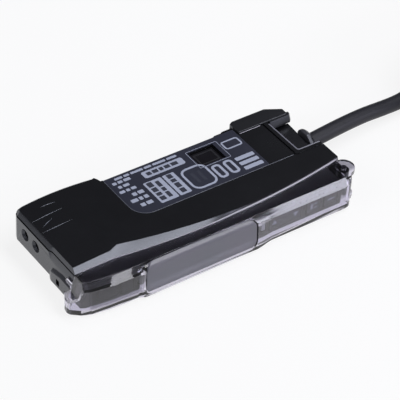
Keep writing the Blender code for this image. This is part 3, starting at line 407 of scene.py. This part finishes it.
def moulded_black(name, level, rough, grain, gloss):
    mat, shader, start = finish(name, {"IOR": 1.5, "Specular IOR Level": gloss, "Specular Tint": COOL_SHEEN})
    cloud = noise(start, 60.0, 3.0)
    fine = noise(start, 5200.0, 2.0, 0.6)
    rub = noise(start, 420.0, 4.0, 0.65)
    colour = blend(start, cloud, grey(level * 0.85, 1.12), grey(level * 1.2, 1.16))
    feed(shader, Base_Color=colour, Roughness=rough + 0.1 * (cloud - 0.5) + 0.05 * (rub - 0.5),
         Normal=bump(start, fine + 0.3 * rub, grain, 0.02))
    return mat


case_black = moulded_black("case_black", **CASE_LOOK)
rough_black = moulded_black("slider_black", level=0.010, rough=0.36, grain=0.25, gloss=0.7)
put_on(case_black, "main_case")
put_on(moulded_black("lid_black", **CASE_LOOK), "side_cover")
put_on(rough_black, "rail_slider", "fibre_holder", "fibre_clamp")
put_on(moulded_black("bush_black", level=0.035, rough=0.4, grain=0.2, gloss=0.8), "cable_bush")
print("black plastic on the case, lid and slider")

# %% [markdown]
# ## Smoke coloured cover
# The hinged cover is clear polycarbonate with a light grey violet tint. An alpha that
# fades it would make it look like fog, because its bright parts are reflections and its
# dark parts are what lies behind it. So it is traced as a clear solid: full
# transmission, the plastic's own refractive index and a tint that each wall adds to.
# Fine moulding waves in the bump keep its reflections from being mirror perfect. The
# front's left part and the hinge ears get a deeper tint, which is painted shade.

# %% Smoke cover and its clear lens
# A darker tint mixed in at the front's left part and the hinge ears: painted shade.
PAINTED_SHADE_TINT = (0.34, 0.33, 0.39, 1)
# Ranges along x, y and z in millimetres. A third number says how softly a range ends.
PAINTED_SHADE_FRONT = ((-37.5, -24.6, 1.0), (-18, -14.9), (1.7, 7.3))
PAINTED_SHADE_EARS = ((38.3, 46, 1.5), (-13.2, -5, 0.5))


def clear_plastic(name, dark, light, rough, index, transmission, wave, shade=None):
    mat, shader, start = finish(name, {"IOR": index, "Transmission Weight": transmission})
    cloud = noise(start, 70.0, 2.0)
    ripple = noise(start, 380.0, 2.0)
    colour = blend(start, cloud, (*dark, 1), (*light, 1))
    if shade:
        colour = blend(start, shade(start), colour, PAINTED_SHADE_TINT)
    feed(shader, Base_Color=colour, Roughness=rough + 0.04 * cloud, Normal=bump(start, ripple, wave, 0.03))
    return mat


def inside(start, places, ranges):
    """1 where every place lies in its range, 0 elsewhere."""
    mask = band(start, places[0], *ranges[0])
    for place, limits in zip(places[1:], ranges[1:]):
        mask = mask * band(start, place, *limits)
    return mask


def painted_shade_places(start):
    """Where painted shade deepens the cover's tint: the front's left part and the hinge ears."""
    places = axes(start, nodes["protective_cover"].matrix_world.translation)
    return (inside(start, places, PAINTED_SHADE_FRONT) + inside(start, places, PAINTED_SHADE_EARS)).clamped()


cover_smoke = clear_plastic("cover_smoke", dark=(0.72, 0.70, 0.80), light=(0.80, 0.78, 0.88), rough=0.02,
                            index=1.58, transmission=1.0, wave=0.05, shade=painted_shade_places)
put_on(cover_smoke, "protective_cover")
lens_clear = clear_plastic("lens_clear", dark=(0.25, 0.27, 0.30), light=(0.30, 0.27, 0.33), rough=0.2,
                           index=1.45, transmission=0.55, wave=0.03)
put_on(lens_clear, "display_window")
print("smoke cover and lens")

# %% [markdown]
# ## Small finishes
# The rest are inner pieces that show when the cover is open, plus the label, keys and
# steel. Each still gets its own scale of grain, because a flat colour reads as plastic
# toy ware.

# %% Label, keys, steel and electronics


def plain(name, colour, rough, scale, vary=0.12, grain=0.1, metallic=0.0):
    mat, shader, start = finish(name, {"Metallic": metallic})
    cloud = noise(start, scale, 3.0)
    dark = (*[c * (1 - vary) for c in colour], 1)
    light = (*[c * (1 + vary) for c in colour], 1)
    feed(shader, Base_Color=blend(start, cloud, dark, light), Roughness=rough + 0.12 * (cloud - 0.5),
         Normal=bump(start, noise(start, scale * 25, 2.0), grain, 0.02))
    return mat


# Colour, roughness, scale of the cloud, and the nodes that wear the finish.
FINISHES = {
    "label_film": ((0.022, 0.024, 0.040), 0.42, 80.0, ("side_label",)),
    "panel_black": ((0.015, 0.015, 0.018), 0.4, 150.0, ("operation_panel",)),
    "key_grey": ((0.075, 0.075, 0.085), 0.5, 200.0,
                 ("tune_button", "up_down_key", "light_dark_button", "mode_button", "lock_button",
                  "release_button", "hank_tie")),
    "board_green": ((0.015, 0.12, 0.055), 0.45, 300.0, ("main_board", "display_board")),
    "chip_epoxy": ((0.018, 0.018, 0.02), 0.5, 300.0, ("processor_chip", "output_driver")),
    "switch_nylon": ((0.22, 0.21, 0.19), 0.5, 300.0,
                     ("tune_switch", "up_switch", "down_switch", "light_dark_switch", "mode_switch",
                      "board_connector")),
    "readout_face": ((0.035, 0.035, 0.04), 0.25, 100.0, ("threshold_display", "incident_display")),
    "guide_clear": ((0.5, 0.52, 0.55), 0.15, 200.0,
                    ("output_light_guide", "status_light_guide", "emitter_led", "receiver_photodiode")),
    "window_dark": ((0.008, 0.0075, 0.010), 0.22, 200.0, ("link_window", "link_window_under")),
}
for name, (colour, rough, scale, wearers) in FINISHES.items():
    put_on(plain(name, colour, rough, scale), *wearers)
steel = plain("spring_steel", (0.55, 0.55, 0.57), 0.32, 900.0, vary=0.06, grain=0.15, metallic=1.0)
put_on(steel, "hinge_pin", "slider_spring", "receiver_shield")
LEAD_COLOURS = {
    "lead_brown": (0.1, 0.035, 0.015),
    "lead_blue": (0.02, 0.06, 0.3),
    "lead_black": (0.012, 0.012, 0.012),
    "lead_orange": (0.7, 0.17, 0.02),
    "lead_pink": (0.65, 0.22, 0.3),
}
for name, colour in LEAD_COLOURS.items():
    put_on(plain(name + "_pvc", colour, 0.45, 400.0), name)


def sheath_finish():
    """Soft PVC sheath: satin, with a faint lengthwise waviness and a little dust."""
    mat, shader, start = finish("cable_pvc", {"IOR": 1.5, "Specular IOR Level": 0.35})
    cloud = noise(start, 160.0, 4.0, 0.6)
    fine = noise(start, 3000.0, 2.0)
    feed(shader, Base_Color=blend(start, cloud, grey(0.011, 1.35), grey(0.018, 1.4)),
         Roughness=0.52 + 0.15 * (cloud - 0.5), Normal=bump(start, fine + 0.5 * cloud, 0.2, 0.03))
    return mat


cable.data.materials.append(sheath_finish())
print("finishes:", len(bpy.data.materials))

# %% [markdown]
# ## Printed label
# The label is a dark film with pale ink: rows of plain bars, boxes and frames. Ink has
# almost no thickness, but as real geometry it keeps crisp edges from any distance, where
# an image would blur. Every field is a closed plate a few hundredths of a millimetre
# high, so nothing flickers against the film below it.

# %% Helpers for flat plates
FILM_TOP = 9.8
INK_HIGH = 0.025


def arc_points(x, y, radius, start, steps=5):
    """A quarter turn round a point, anticlockwise from an angle in degrees."""
    angles = [math.radians(start + 90 * i / steps) for i in range(steps + 1)]
    return [(x + radius * math.cos(a), y + radius * math.sin(a)) for a in angles]


def rounded_box(x0, y0, x1, y1, radius):
    corners = [(x1 - radius, y0 + radius, -90), (x1 - radius, y1 - radius, 0), (x0 + radius, y1 - radius, 90),
               (x0 + radius, y0 + radius, 180)]
    return [p for x, y, start in corners for p in arc_points(x, y, radius, start)]


def add_plate(bm, outline, low, high):
    """A closed prism between two heights, in millimetres."""
    rows = [[bm.verts.new((x, y, z)) for x, y in outline] for z in (low, high)]
    bm.faces.new(rows[0][::-1])
    bm.faces.new(rows[1])
    for i, j in zip(range(len(outline)), [*range(1, len(outline)), 0]):
        bm.faces.new((rows[0][i], rows[0][j], rows[1][j], rows[1][i]))


def add_frame(bm, outer, inner, low, high):
    """A closed band between two outlines with the same number of points."""
    rows = [[bm.verts.new((x, y, z)) for x, y in line] for line, z in
            ((outer, low), (outer, high), (inner, high), (inner, low))]
    for first, second in zip(rows, rows[1:] + rows[:1]):
        for i, j in zip(range(len(outer)), [*range(1, len(outer)), 0]):
            bm.faces.new((first[i], first[j], second[j], second[i]))


def mesh_piece(name, body, mat, build):
    """A new piece whose bmesh is filled in by build, in millimetres."""
    bm = bmesh.new()
    build(bm)
    bmesh.ops.scale(bm, vec=(MM, MM, MM), verts=bm.verts)
    bmesh.ops.recalc_face_normals(bm, faces=bm.faces)
    mesh = bpy.data.meshes.new(name)
    bm.to_mesh(mesh)
    bm.free()
    mesh.materials.append(mat)
    made = bpy.data.objects.new(name, mesh)
    bpy.context.scene.collection.objects.link(made)
    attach(made, body)
    print(name, "faces:", len(mesh.polygons))
    return made


# %% Pale ink on the label
# A box is x0, y0, x1, y1 and its corner radius. A line of words is x, y, its height and the
# lengths of the words. A frame is a box, its corner radius and the width of its line.
INK_BOXES = [(-5.7, 9.75, 6.4, 12.35, 0.6), (-7.5, -0.1, -2.3, 8.5, 0.35), (-1.9, -0.1, 1.5, 8.5, 0.35),
             (17.6, 3.6, 23.2, 4.9, 0.3), (17.6, 1.6, 23.2, 2.9, 0.3), (17.6, -0.4, 23.2, 0.9, 0.3)]
INK_LINES = [(-12.6, 13.1, 0.75, (2.3, 1.6, 3.6, 2.1, 3.8, 2.9)), (-14.0, 11.6, 0.95, (1.1, 1.3, 1.9)),
             (-13.4, 9.85, 0.95, (1.0, 1.7)), (-14.2, 8.0, 0.95, (1.5, 1.0, 1.4)),
             (-11.9, 5.7, 1.2, (1.2, 1.6)), (-13.6, 3.6, 1.2, (1.9, 1.0, 1.2)), (-12.3, 1.3, 1.2, (1.3, 1.7))]
INK_FRAMES = [(2.4, -0.6, 9.8, 7.9, 2.2, 0.62), (10.4, 0.0, 13.1, 5.4, 1.1, 0.72),
              (13.9, 0.0, 16.6, 5.4, 1.1, 0.72), (18.0, 8.6, 23.2, 11.9, 0.8, 0.45),
              (8.2, 6.0, 17.6, 13.1, 0.3, 0.12)]
WORD_GAP = 0.42
WORD_ROUND = 0.2
LEAST_ROUND = 0.08


def ink_line(bm, x, y, high, words):
    for long in words:
        add_plate(bm, rounded_box(x, y, x + long, y + high, WORD_ROUND), FILM_TOP, FILM_TOP + INK_HIGH)
        x += long + WORD_GAP


def label_ink(bm):
    for *box, radius in INK_BOXES:
        add_plate(bm, rounded_box(*box, radius), FILM_TOP, FILM_TOP + INK_HIGH)
    for x, y, high, words in INK_LINES:
        ink_line(bm, x, y, high, words)
    for x0, y0, x1, y1, radius, wide in INK_FRAMES:
        outer = rounded_box(x0, y0, x1, y1, radius)
        inner = rounded_box(x0 + wide, y0 + wide, x1 - wide, y1 - wide, max(radius - wide, LEAST_ROUND))
        add_frame(bm, outer, inner, FILM_TOP, FILM_TOP + INK_HIGH)


pale_ink = plain("pale_ink", (0.37, 0.4, 0.5), 0.5, 500.0, 0.08)
mesh_piece("label_ink", "case", pale_ink, label_ink)

# %% Dark bars on the pale fields
DARK_ROWS_ACROSS = [(-4.6, 10.45, 1.25, (1.3, 1.6, 1.1, 1.6, 1.9))]
DARK_COLUMNS = [(-6.9, 0.7, 1.5, (1.5, 1.2, 1.6, 1.9)), (-4.6, 0.9, 1.1, (2.2, 1.4, 2.3)),
                (-0.95, 0.6, 1.45, (1.7, 1.9, 1.2, 1.6))]
DARK_LOW = FILM_TOP + INK_HIGH
DARK_ROUND = 0.15
SYMBOL_BARS_X = (4.6, 6.5)
SYMBOL_BAR_Y = (1.6, 5.7)
SYMBOL_BAR_WIDE = 0.9
SYMBOL_BAR_ROUND = 0.3


def dark_bars(bm):
    for x, y, high, words in DARK_ROWS_ACROSS:
        for long in words:
            bar = rounded_box(x, y, x + long, y + high, DARK_ROUND)
            add_plate(bm, bar, DARK_LOW, DARK_LOW + INK_HIGH)
            x += long + WORD_GAP
    for x, y, wide, words in DARK_COLUMNS:
        for long in words:
            bar = rounded_box(x, y, x + wide, y + long, DARK_ROUND)
            add_plate(bm, bar, DARK_LOW, DARK_LOW + INK_HIGH)
            y += long + WORD_GAP
    for x in SYMBOL_BARS_X:
        bar = rounded_box(x, SYMBOL_BAR_Y[0], x + SYMBOL_BAR_WIDE, SYMBOL_BAR_Y[1], SYMBOL_BAR_ROUND)
        add_plate(bm, bar, FILM_TOP, FILM_TOP + INK_HIGH)


dark_ink = plain("dark_ink", (0.03, 0.033, 0.05), 0.5, 500.0, 0.08)
mesh_piece("label_dark_bars", "case", dark_ink, dark_bars)

# %% Line in the dark window
WINDOW_INSET = 1.5
WINDOW_LINE = 0.5
WINDOW_ROUND = 0.2


def window_frame(bm):
    """A square line set into the dark window."""
    (x0, y0, _), (x1, y1, top) = [[v / MM for v in corner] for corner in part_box("link_window")]
    lines = []
    for d in (WINDOW_INSET, WINDOW_INSET + WINDOW_LINE):
        lines.append(rounded_box(x0 + d, y0 + d, x1 - d, y1 - d, WINDOW_ROUND))
    add_frame(bm, *lines, top, top + INK_HIGH)


window_line = plain("window_line", (0.014, 0.014, 0.018), 0.4, 500.0, 0.08)
mesh_piece("window_frame", "case", window_line, window_frame)

# %% [markdown]
# ## Painted edge highlights
# Black plastic shows its shape by its edges, where small radii catch the light as hair thin
# bright lines. These lines are painted here: the ones along the label recess, the rim of the
# cable pocket, the slider's side and the lid are thin round beads in pale greys, sunk to half
# of their depth in the plastic, that stand for highlights. The one along the lid, a painted
# highlight of its chamfer, starts thin on the left, and grows wider and climbs the chamfer
# past the middle.

# %% Edge beads
LID_TOP = 10.0
TAPER = 0.2
RIM_EDGE = [(33.35, 11.6, 9.72), (33.45, -0.3, 9.72), (33.9, -0.75, 9.72), (40.2, -0.8, 9.72)]
RIM_R = 0.26
RECESS_START = (-15.3, 14.4, LID_TOP)
RECESS_CORNER = (-10.7, 2.7, 4.6)
RECESS_END = (31.2, -1.9, LID_TOP)
RECESS_R = 0.07
SLIDER_EDGE = [(24.8, 12.45, 9.7), (31.2, 12.45, 9.7)]
SLIDER_R = 0.08
LID_EDGE_Y = -10.3
BOW_START = -28.0
BOW_LONG = 68.35
BOW_END_RISE = 1.8
BOW_DEPTH = 11.4
LID_LINE_START = -37.2
LID_LINE_LONG = 77.2
LID_LINE_STEPS = 60
LID_LINE_OUT = 0.02
LID_LINE_Z = 9.22
LID_LINE_R = 0.10
CLIMB_START = -6
CLIMB_LONG = 12
CLIMB_HIGH = 0.44
CLIMB_WIDER = 1.4


def bead(name, points, radius, mat, body="case", taper=False):
    """A thin round line through points in millimetres."""
    line = tube(name, points, radius, 1)
    if taper:
        for point in (line.data.splines[0].points[0], line.data.splines[0].points[-1]):
            point.radius *= TAPER
    line.data.materials.append(mat)
    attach(line, body)
    return line


# Pale greys for the beads: painted highlights where rounded edges would catch the light.
painted_highlight_grey = plain("painted_highlight_grey", (0.13, 0.14, 0.17), 0.3, 600.0, 0.1)
painted_highlight_bright = plain("painted_highlight_bright", (0.45, 0.43, 0.49), 0.3, 600.0, 0.1)
painted_highlight_rim = plain("painted_highlight_rim", (0.2, 0.2, 0.24), 0.35, 600.0, 0.1)


def lid_edge_y(x):
    """Outer edge of the lid along the display side: a flat run, then a long shallow bow."""
    if x <= BOW_START:
        return LID_EDGE_Y
    t = (x - BOW_START) / BOW_LONG
    return LID_EDGE_Y + BOW_END_RISE * t - BOW_DEPTH * t * (1 - t)


def lid_line():
    """A painted highlight along the lid's edge: thin and low on the left, wider and higher past the middle.
    """
    places = [LID_LINE_START + LID_LINE_LONG * i / LID_LINE_STEPS for i in range(LID_LINE_STEPS + 1)]
    rise = [min(max((x - CLIMB_START) / CLIMB_LONG, 0), 1) for x in places]
    points = [(x, lid_edge_y(x) - LID_LINE_OUT, LID_LINE_Z + CLIMB_HIGH * t) for x, t in zip(places, rise)]
    line = bead("lid_edge_line", points, LID_LINE_R, painted_highlight_bright, taper=True)
    for point, t in zip(line.data.splines[0].points, rise):
        point.radius *= 1 + CLIMB_WIDER * t


recess_corner = [(x, y, LID_TOP) for x, y in arc_points(*RECESS_CORNER, 180, 10)]
# Beads of painted highlight along the pocket rim, the label recess, the slider's side and the lid.
bead("pocket_rim_edge", RIM_EDGE, RIM_R, painted_highlight_rim)
bead("recess_edge", [RECESS_START, *recess_corner, RECESS_END], RECESS_R, painted_highlight_grey)
bead("slider_side_edge", SLIDER_EDGE, SLIDER_R, painted_highlight_bright)
lid_line()
print("curves so far:", len(bpy.data.curves))

# %% [markdown]
# ## Digits and key legends
# Under the cover the display side has two read-outs and a row of keys. The read-outs are
# dark, as on a unit without power, so each shows four unlit digits of seven bars. The keys
# have plain bars and arrows, and each print rides on its own key, so it sinks with it.

# %% Digits and key legends on the display side
PRINT_THICK = 0.04
DIGIT_WIDE = 1.35
DIGIT_TALL = 2.8
DIGIT_BAR = 0.26
DIGIT_STEP = 2.35
DIGITS = 4
SEGMENT_GAP = 0.2
# Boxes are x0, z0, x1 and z1 from the middle of the key.
LEGENDS = {
    "mode_button": ("mode", [(-1.0, -0.2, 1.0, 0.2)]),
    "light_dark_button": ("light_dark", [(-1.0, -0.75, -0.3, 0.75), (0.1, 0.45, 1.0, 0.75),
                                         (0.1, -0.75, 1.0, -0.45)]),
    "tune_button": ("tune", [(-0.7, -0.7, 0.7, -0.35), (-0.7, -0.1, 0.35, 0.25), (-0.7, 0.5, 0.0, 0.85)]),
}
ARROWS = ((-3.2, 1), (3.2, -1))
ARROW_SINK = 0.03
ARROW = [(-0.75, -0.55), (0.75, -0.55), (0.0, 0.75)]


def front_plate(bm, outline, face):
    """A closed plate on a face that looks along minus y, from its outline in x and z."""
    rows = [[bm.verts.new((x, y, z)) for x, z in outline] for y in (face, face - PRINT_THICK)]
    bm.faces.new(rows[0])
    bm.faces.new(rows[1][::-1])
    for i, j in zip(range(len(outline)), [*range(1, len(outline)), 0]):
        bm.faces.new((rows[0][i], rows[0][j], rows[1][j], rows[1][i]))


def upright_box(x0, z0, x1, z1):
    return [(x0, z0), (x1, z0), (x1, z1), (x0, z1)]


def seven_segments(bm, x, z, face):
    """One unlit digit: three bars across and four upright."""
    wide, tall, bar, gap = DIGIT_WIDE / 2, DIGIT_TALL / 2, DIGIT_BAR / 2, SEGMENT_GAP
    for middle in (-tall, 0, tall):
        front_plate(bm, upright_box(x - wide + gap, z + middle - bar, x + wide - gap, z + middle + bar), face)
    for side in (-wide, wide):
        for low, high in ((-tall + gap, -gap), (gap, tall - gap)):
            front_plate(bm, upright_box(x + side - bar, z + low, x + side + bar, z + high), face)


def middle_and_face(name):
    low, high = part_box(name)
    return (low[0] + high[0]) / 2 / MM, (low[2] + high[2]) / 2 / MM, low[1] / MM


def digits(name):
    """What fills a mesh with a row of unlit digits on a read-out."""
    x, z, face = middle_and_face(name)

    def build(bm):
        for i in range(DIGITS):
            seven_segments(bm, x + (i - (DIGITS - 1) / 2) * DIGIT_STEP, z, face)

    return build


def legend(name, boxes):
    """What fills a mesh with upright boxes round the middle of a key."""
    x, z, face = middle_and_face(name)

    def build(bm):
        for a, b, c, d in boxes:
            front_plate(bm, upright_box(x + a, z + b, x + c, z + d), face)

    return build


def rocker_arrows(bm):
    """An arrow up at the key's left end and one down at its right end."""
    x, z, face = middle_and_face("up_down_key")
    for side, way in ARROWS:
        front_plate(bm, [(x + side + a, z + way * b) for a, b in ARROW][::way], face + ARROW_SINK)


unlit = plain("unlit_segment", (0.11, 0.1, 0.1), 0.4, 500.0, 0.08)
for name in ("threshold_display", "incident_display"):
    mesh_piece(name + "_digits", "case", unlit, digits(name))
for name, (body, boxes) in LEGENDS.items():
    mesh_piece(body + "_legend", body, pale_ink, legend(name, boxes))
mesh_piece("rocker_arrows", "rocker", pale_ink, rocker_arrows)

# %% [markdown]
# ## Grip marks
# Low ribs on the left of the lid give a finger hold. They are beads too, with tapered
# ends, in a pale grey: the ribs are real, their paleness is a painted highlight.

# %% Moulded grip marks on the left of the lid
GRIP_R = 0.11
GRIP_SINK = 0.02
GRIP_MARKS = {
    "grip_mark_a": [(-33.7, 13.9), (-31.6, 13.95), (-29.4, 13.8)],
    "grip_mark_b": [(-38.4, 10.1), (-34.0, 10.6), (-29.1, 11.0)],
    "grip_mark_c": [(-38.3, 5.4), (-34.0, 5.8), (-29.3, 6.1)],
    "grip_arrow": [(-37.2, 7.1), (-35.0, 8.2), (-33.4, 8.9)],
}
# Real ribs whose pale grey is a painted highlight.
for name, points in GRIP_MARKS.items():
    bead(name, [(x, y, LID_TOP - GRIP_SINK) for x, y in points], GRIP_R, painted_highlight_grey, taper=True)
print("grip marks:", len(GRIP_MARKS))

# %% [markdown]
# ## Softer edges on the CAD shapes
# The packed meshes are made of separate flat triangles. Real mouldings have small radii
# that catch light as thin bright lines, so each CAD node gets modifiers, which leave its
# own mesh alone. The first joins the triangles and smooths shallow angles. The larger
# mouldings get a small bevel at their sharp edges. The last turns the normals toward the
# large faces, so that these stay flat in the light.

# %% Modifiers for joined and rounded edges
SMOOTH_BELOW = {"side_cover": 12, "protective_cover": 14}
OTHER_SMOOTH_BELOW = 28
JOIN_WITHIN = 2e-6
BEVEL_ABOVE = 30


def joined_smooth_group(degrees):
    """Geometry nodes that merge equal points and smooth every edge below an angle."""
    tree = bpy.data.node_groups.new(f"joined_smooth_{degrees}", "GeometryNodeTree")
    tree.interface.new_socket("Geometry", in_out="INPUT", socket_type="NodeSocketGeometry")
    tree.interface.new_socket("Geometry", in_out="OUTPUT", socket_type="NodeSocketGeometry")
    start = Wire(tree, tree.nodes.new("NodeGroupInput").outputs[0])
    merged = start.node("GeometryNodeMergeByDistance", None, {"Geometry": start, "Distance": JOIN_WITHIN})
    faces = start.node("GeometryNodeSetShadeSmooth", {"domain": "FACE"}, {0: merged, 2: True})
    angle = start.node("GeometryNodeInputMeshEdgeAngle")
    shallow = start.node("FunctionNodeCompare", {"data_type": "FLOAT", "operation": "LESS_THAN"},
                         {0: angle, 1: math.radians(degrees)})
    edges = start.node("GeometryNodeSetShadeSmooth", {"domain": "EDGE"}, {0: faces, 2: shallow})
    tree.links.new(edges.socket, tree.nodes.new("NodeGroupOutput").inputs[0])
    return tree


SMOOTH_GROUPS = {d: joined_smooth_group(d) for d in (*SMOOTH_BELOW.values(), OTHER_SMOOTH_BELOW)}
EDGE_ROUND = {"main_case": 0.12, "side_cover": 0.12, "rail_slider": 0.15, "protective_cover": 0.12,
              "display_window": 0.1, "operation_panel": 0.1, "cable_bush": 0.25}


def soften(name):
    modifier = nodes[name].modifiers.new("joined_smooth", "NODES")
    modifier.node_group = SMOOTH_GROUPS[SMOOTH_BELOW.get(name, OTHER_SMOOTH_BELOW)]
    if name in EDGE_ROUND:
        rounding = nodes[name].modifiers.new("edge_round", "BEVEL")
        rounding.width = EDGE_ROUND[name] * MM
        rounding.segments = 2
        rounding.limit_method = "ANGLE"
        rounding.angle_limit = math.radians(BEVEL_ABOVE)
    weighted = nodes[name].modifiers.new("large_faces_flat", "WEIGHTED_NORMAL")
    weighted.mode = "FACE_AREA"
    weighted.weight = 100
    weighted.keep_sharp = True


for name in nodes:
    soften(name)
print("softened nodes:", len(nodes))

# %% [markdown]
# ## Spring behind the slider
# A coil spring pushes the slider, and gets shorter as the slider moves in. The CAD spring
# is rigid and rides on the case, so a copy of it, as a piece of its own, takes its place.

# %% Copy of the spring behind the slider


def spring_coil():
    """The CAD spring again, as a piece of its own in place of the hidden CAD spring."""
    node = nodes["slider_spring"]
    mesh = node.data.copy()
    mesh.transform(node.matrix_world)
    coil = bpy.data.objects.new("spring_coil", mesh)
    bpy.context.scene.collection.objects.link(coil)
    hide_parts("slider_spring")
    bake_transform(coil)
    return coil


print("spring points:", len(spring_coil().data.vertices))

# %% [markdown]
# ## Floor and light
# A large pale floor catches a soft shadow. Area lamps give soft highlights, as softboxes
# do in a product studio: one overhead and forward for the bright line of the chamfer, one
# low on the right for the cover's bevel, a small one low in front for the left part of
# the cover's front, and one on the left for the end with the fibre holes. The world adds
# an even fill and stays darker than the lamps, so that black plastic stays black.

# %% Floor
FLOOR_Z = -0.0003
FLOOR_SIZE = 6.0
GLOW_SHARE = 0.82


def floor_finish():
    """Pale matt floor that reads as white to the camera and to reflections, and keeps its shadow."""
    mat, shader, start = finish("floor_white", {"Base Color": (0.9, 0.9, 0.9, 1), "Roughness": 0.9,
                                                "Specular IOR Level": 0.0})
    tree = mat.node_tree
    path = tree.nodes.new("ShaderNodeLightPath")
    rays = [Wire(tree, path.outputs[n]) for n in ("Is Camera Ray", "Is Glossy Ray", "Is Transmission Ray")]
    seen = (rays[0] + rays[1] + rays[2]).clamped()
    glow = start.node("ShaderNodeEmission", None, {"Color": (1, 1, 1, 1), "Strength": 1.0})
    plain_floor = Wire(tree, shader.outputs[0])
    both = start.node("ShaderNodeMixShader", None, {0: GLOW_SHARE * seen, 1: plain_floor, 2: glow})
    tree.links.new(both.socket, tree.nodes["Material Output"].inputs["Surface"])
    return mat


def floor_piece():
    mesh = bpy.data.meshes.new("studio_floor")
    half = FLOOR_SIZE / 2
    corners = [(-half, -half, 0), (half, -half, 0), (half, half, 0), (-half, half, 0)]
    mesh.from_pydata(corners, [], [(0, 1, 2, 3)])
    made = bpy.data.objects.new("studio_floor", mesh)
    made.location = (0, 0, FLOOR_Z)
    mesh.materials.append(floor_finish())
    bpy.context.scene.collection.objects.link(made)
    return made


floor_piece()
print("floor size in m:", FLOOR_SIZE)

# %% Lamps and world
# Place and aim in metres, size in metres, power in watts, and colour.
LAMPS = {
    "overhead_lamp": ((0.42, -0.26, 0.88), (0.42, -0.26, 0), (0.36, 1.08), 7.1, (0.95, 0.96, 1.0)),
    "right_lamp": ((0.4475, -0.4438, 0.24), (0.0475, 0.0062, 0), (0.291, 0.14), 1.21, (0.86, 0.86, 1.0)),
    "left_card": ((0.175, -0.53, 0.255), (-0.03, -0.016, 0.009), (0.09, 0.12), 0.21, (0.93, 0.93, 1.0)),
    "left_lamp": ((-0.75, 0.05, 0.35), (0, 0, 0), (0.5, 0.6), 2.2, (0.95, 0.96, 1.0)),
}
DARK_SIDE = (0.46, 0.61, 0.64)
DARK_FROM = 0.45
DARK_FULL = 0.9
FILL = 0.34
DARK_FILL = 0.052


def softbox(name, place, aim, size, power, colour):
    """Rectangular lamp at a place in metres, turned toward a point."""
    light = bpy.data.lights.new(name, "AREA")
    light.shape = "RECTANGLE"
    light.size, light.size_y = size
    light.energy = power
    light.color = colour
    made = bpy.data.objects.new(name, light)
    made.location = place
    made.rotation_mode = "QUATERNION"
    made.rotation_quaternion = (Vector(aim) - Vector(place)).to_track_quat("-Z", "Y")
    bpy.context.scene.collection.objects.link(made)


for name, settings in LAMPS.items():
    softbox(name, *settings)


def studio_world():
    """Even fill light, with a dark patch behind the part where a black flag stands in a studio."""
    world = bpy.data.worlds.new("studio_world")
    world.use_nodes = True
    start = Wire(world.node_tree)
    direction = start.node("ShaderNodeTexCoord", out=0)
    toward = start.node("ShaderNodeVectorMath", {"operation": "DOT_PRODUCT"}, {0: direction, 1: DARK_SIDE},
                        out=1)
    flag = start.node("ShaderNodeMapRange", {"interpolation_type": "SMOOTHSTEP"},
                      {"Value": toward, "From Min": DARK_FROM, "From Max": DARK_FULL, "To Min": FILL,
                       "To Max": DARK_FILL})
    back = world.node_tree.nodes["Background"]
    back.inputs["Color"].default_value = (0.92, 0.93, 1.0, 1)
    world.node_tree.links.new(flag.socket, back.inputs["Strength"])
    bpy.context.scene.world = world
    return world


studio_world()
bpy.context.scene.view_settings.view_transform = "Standard"

# %% [markdown] ## Finish
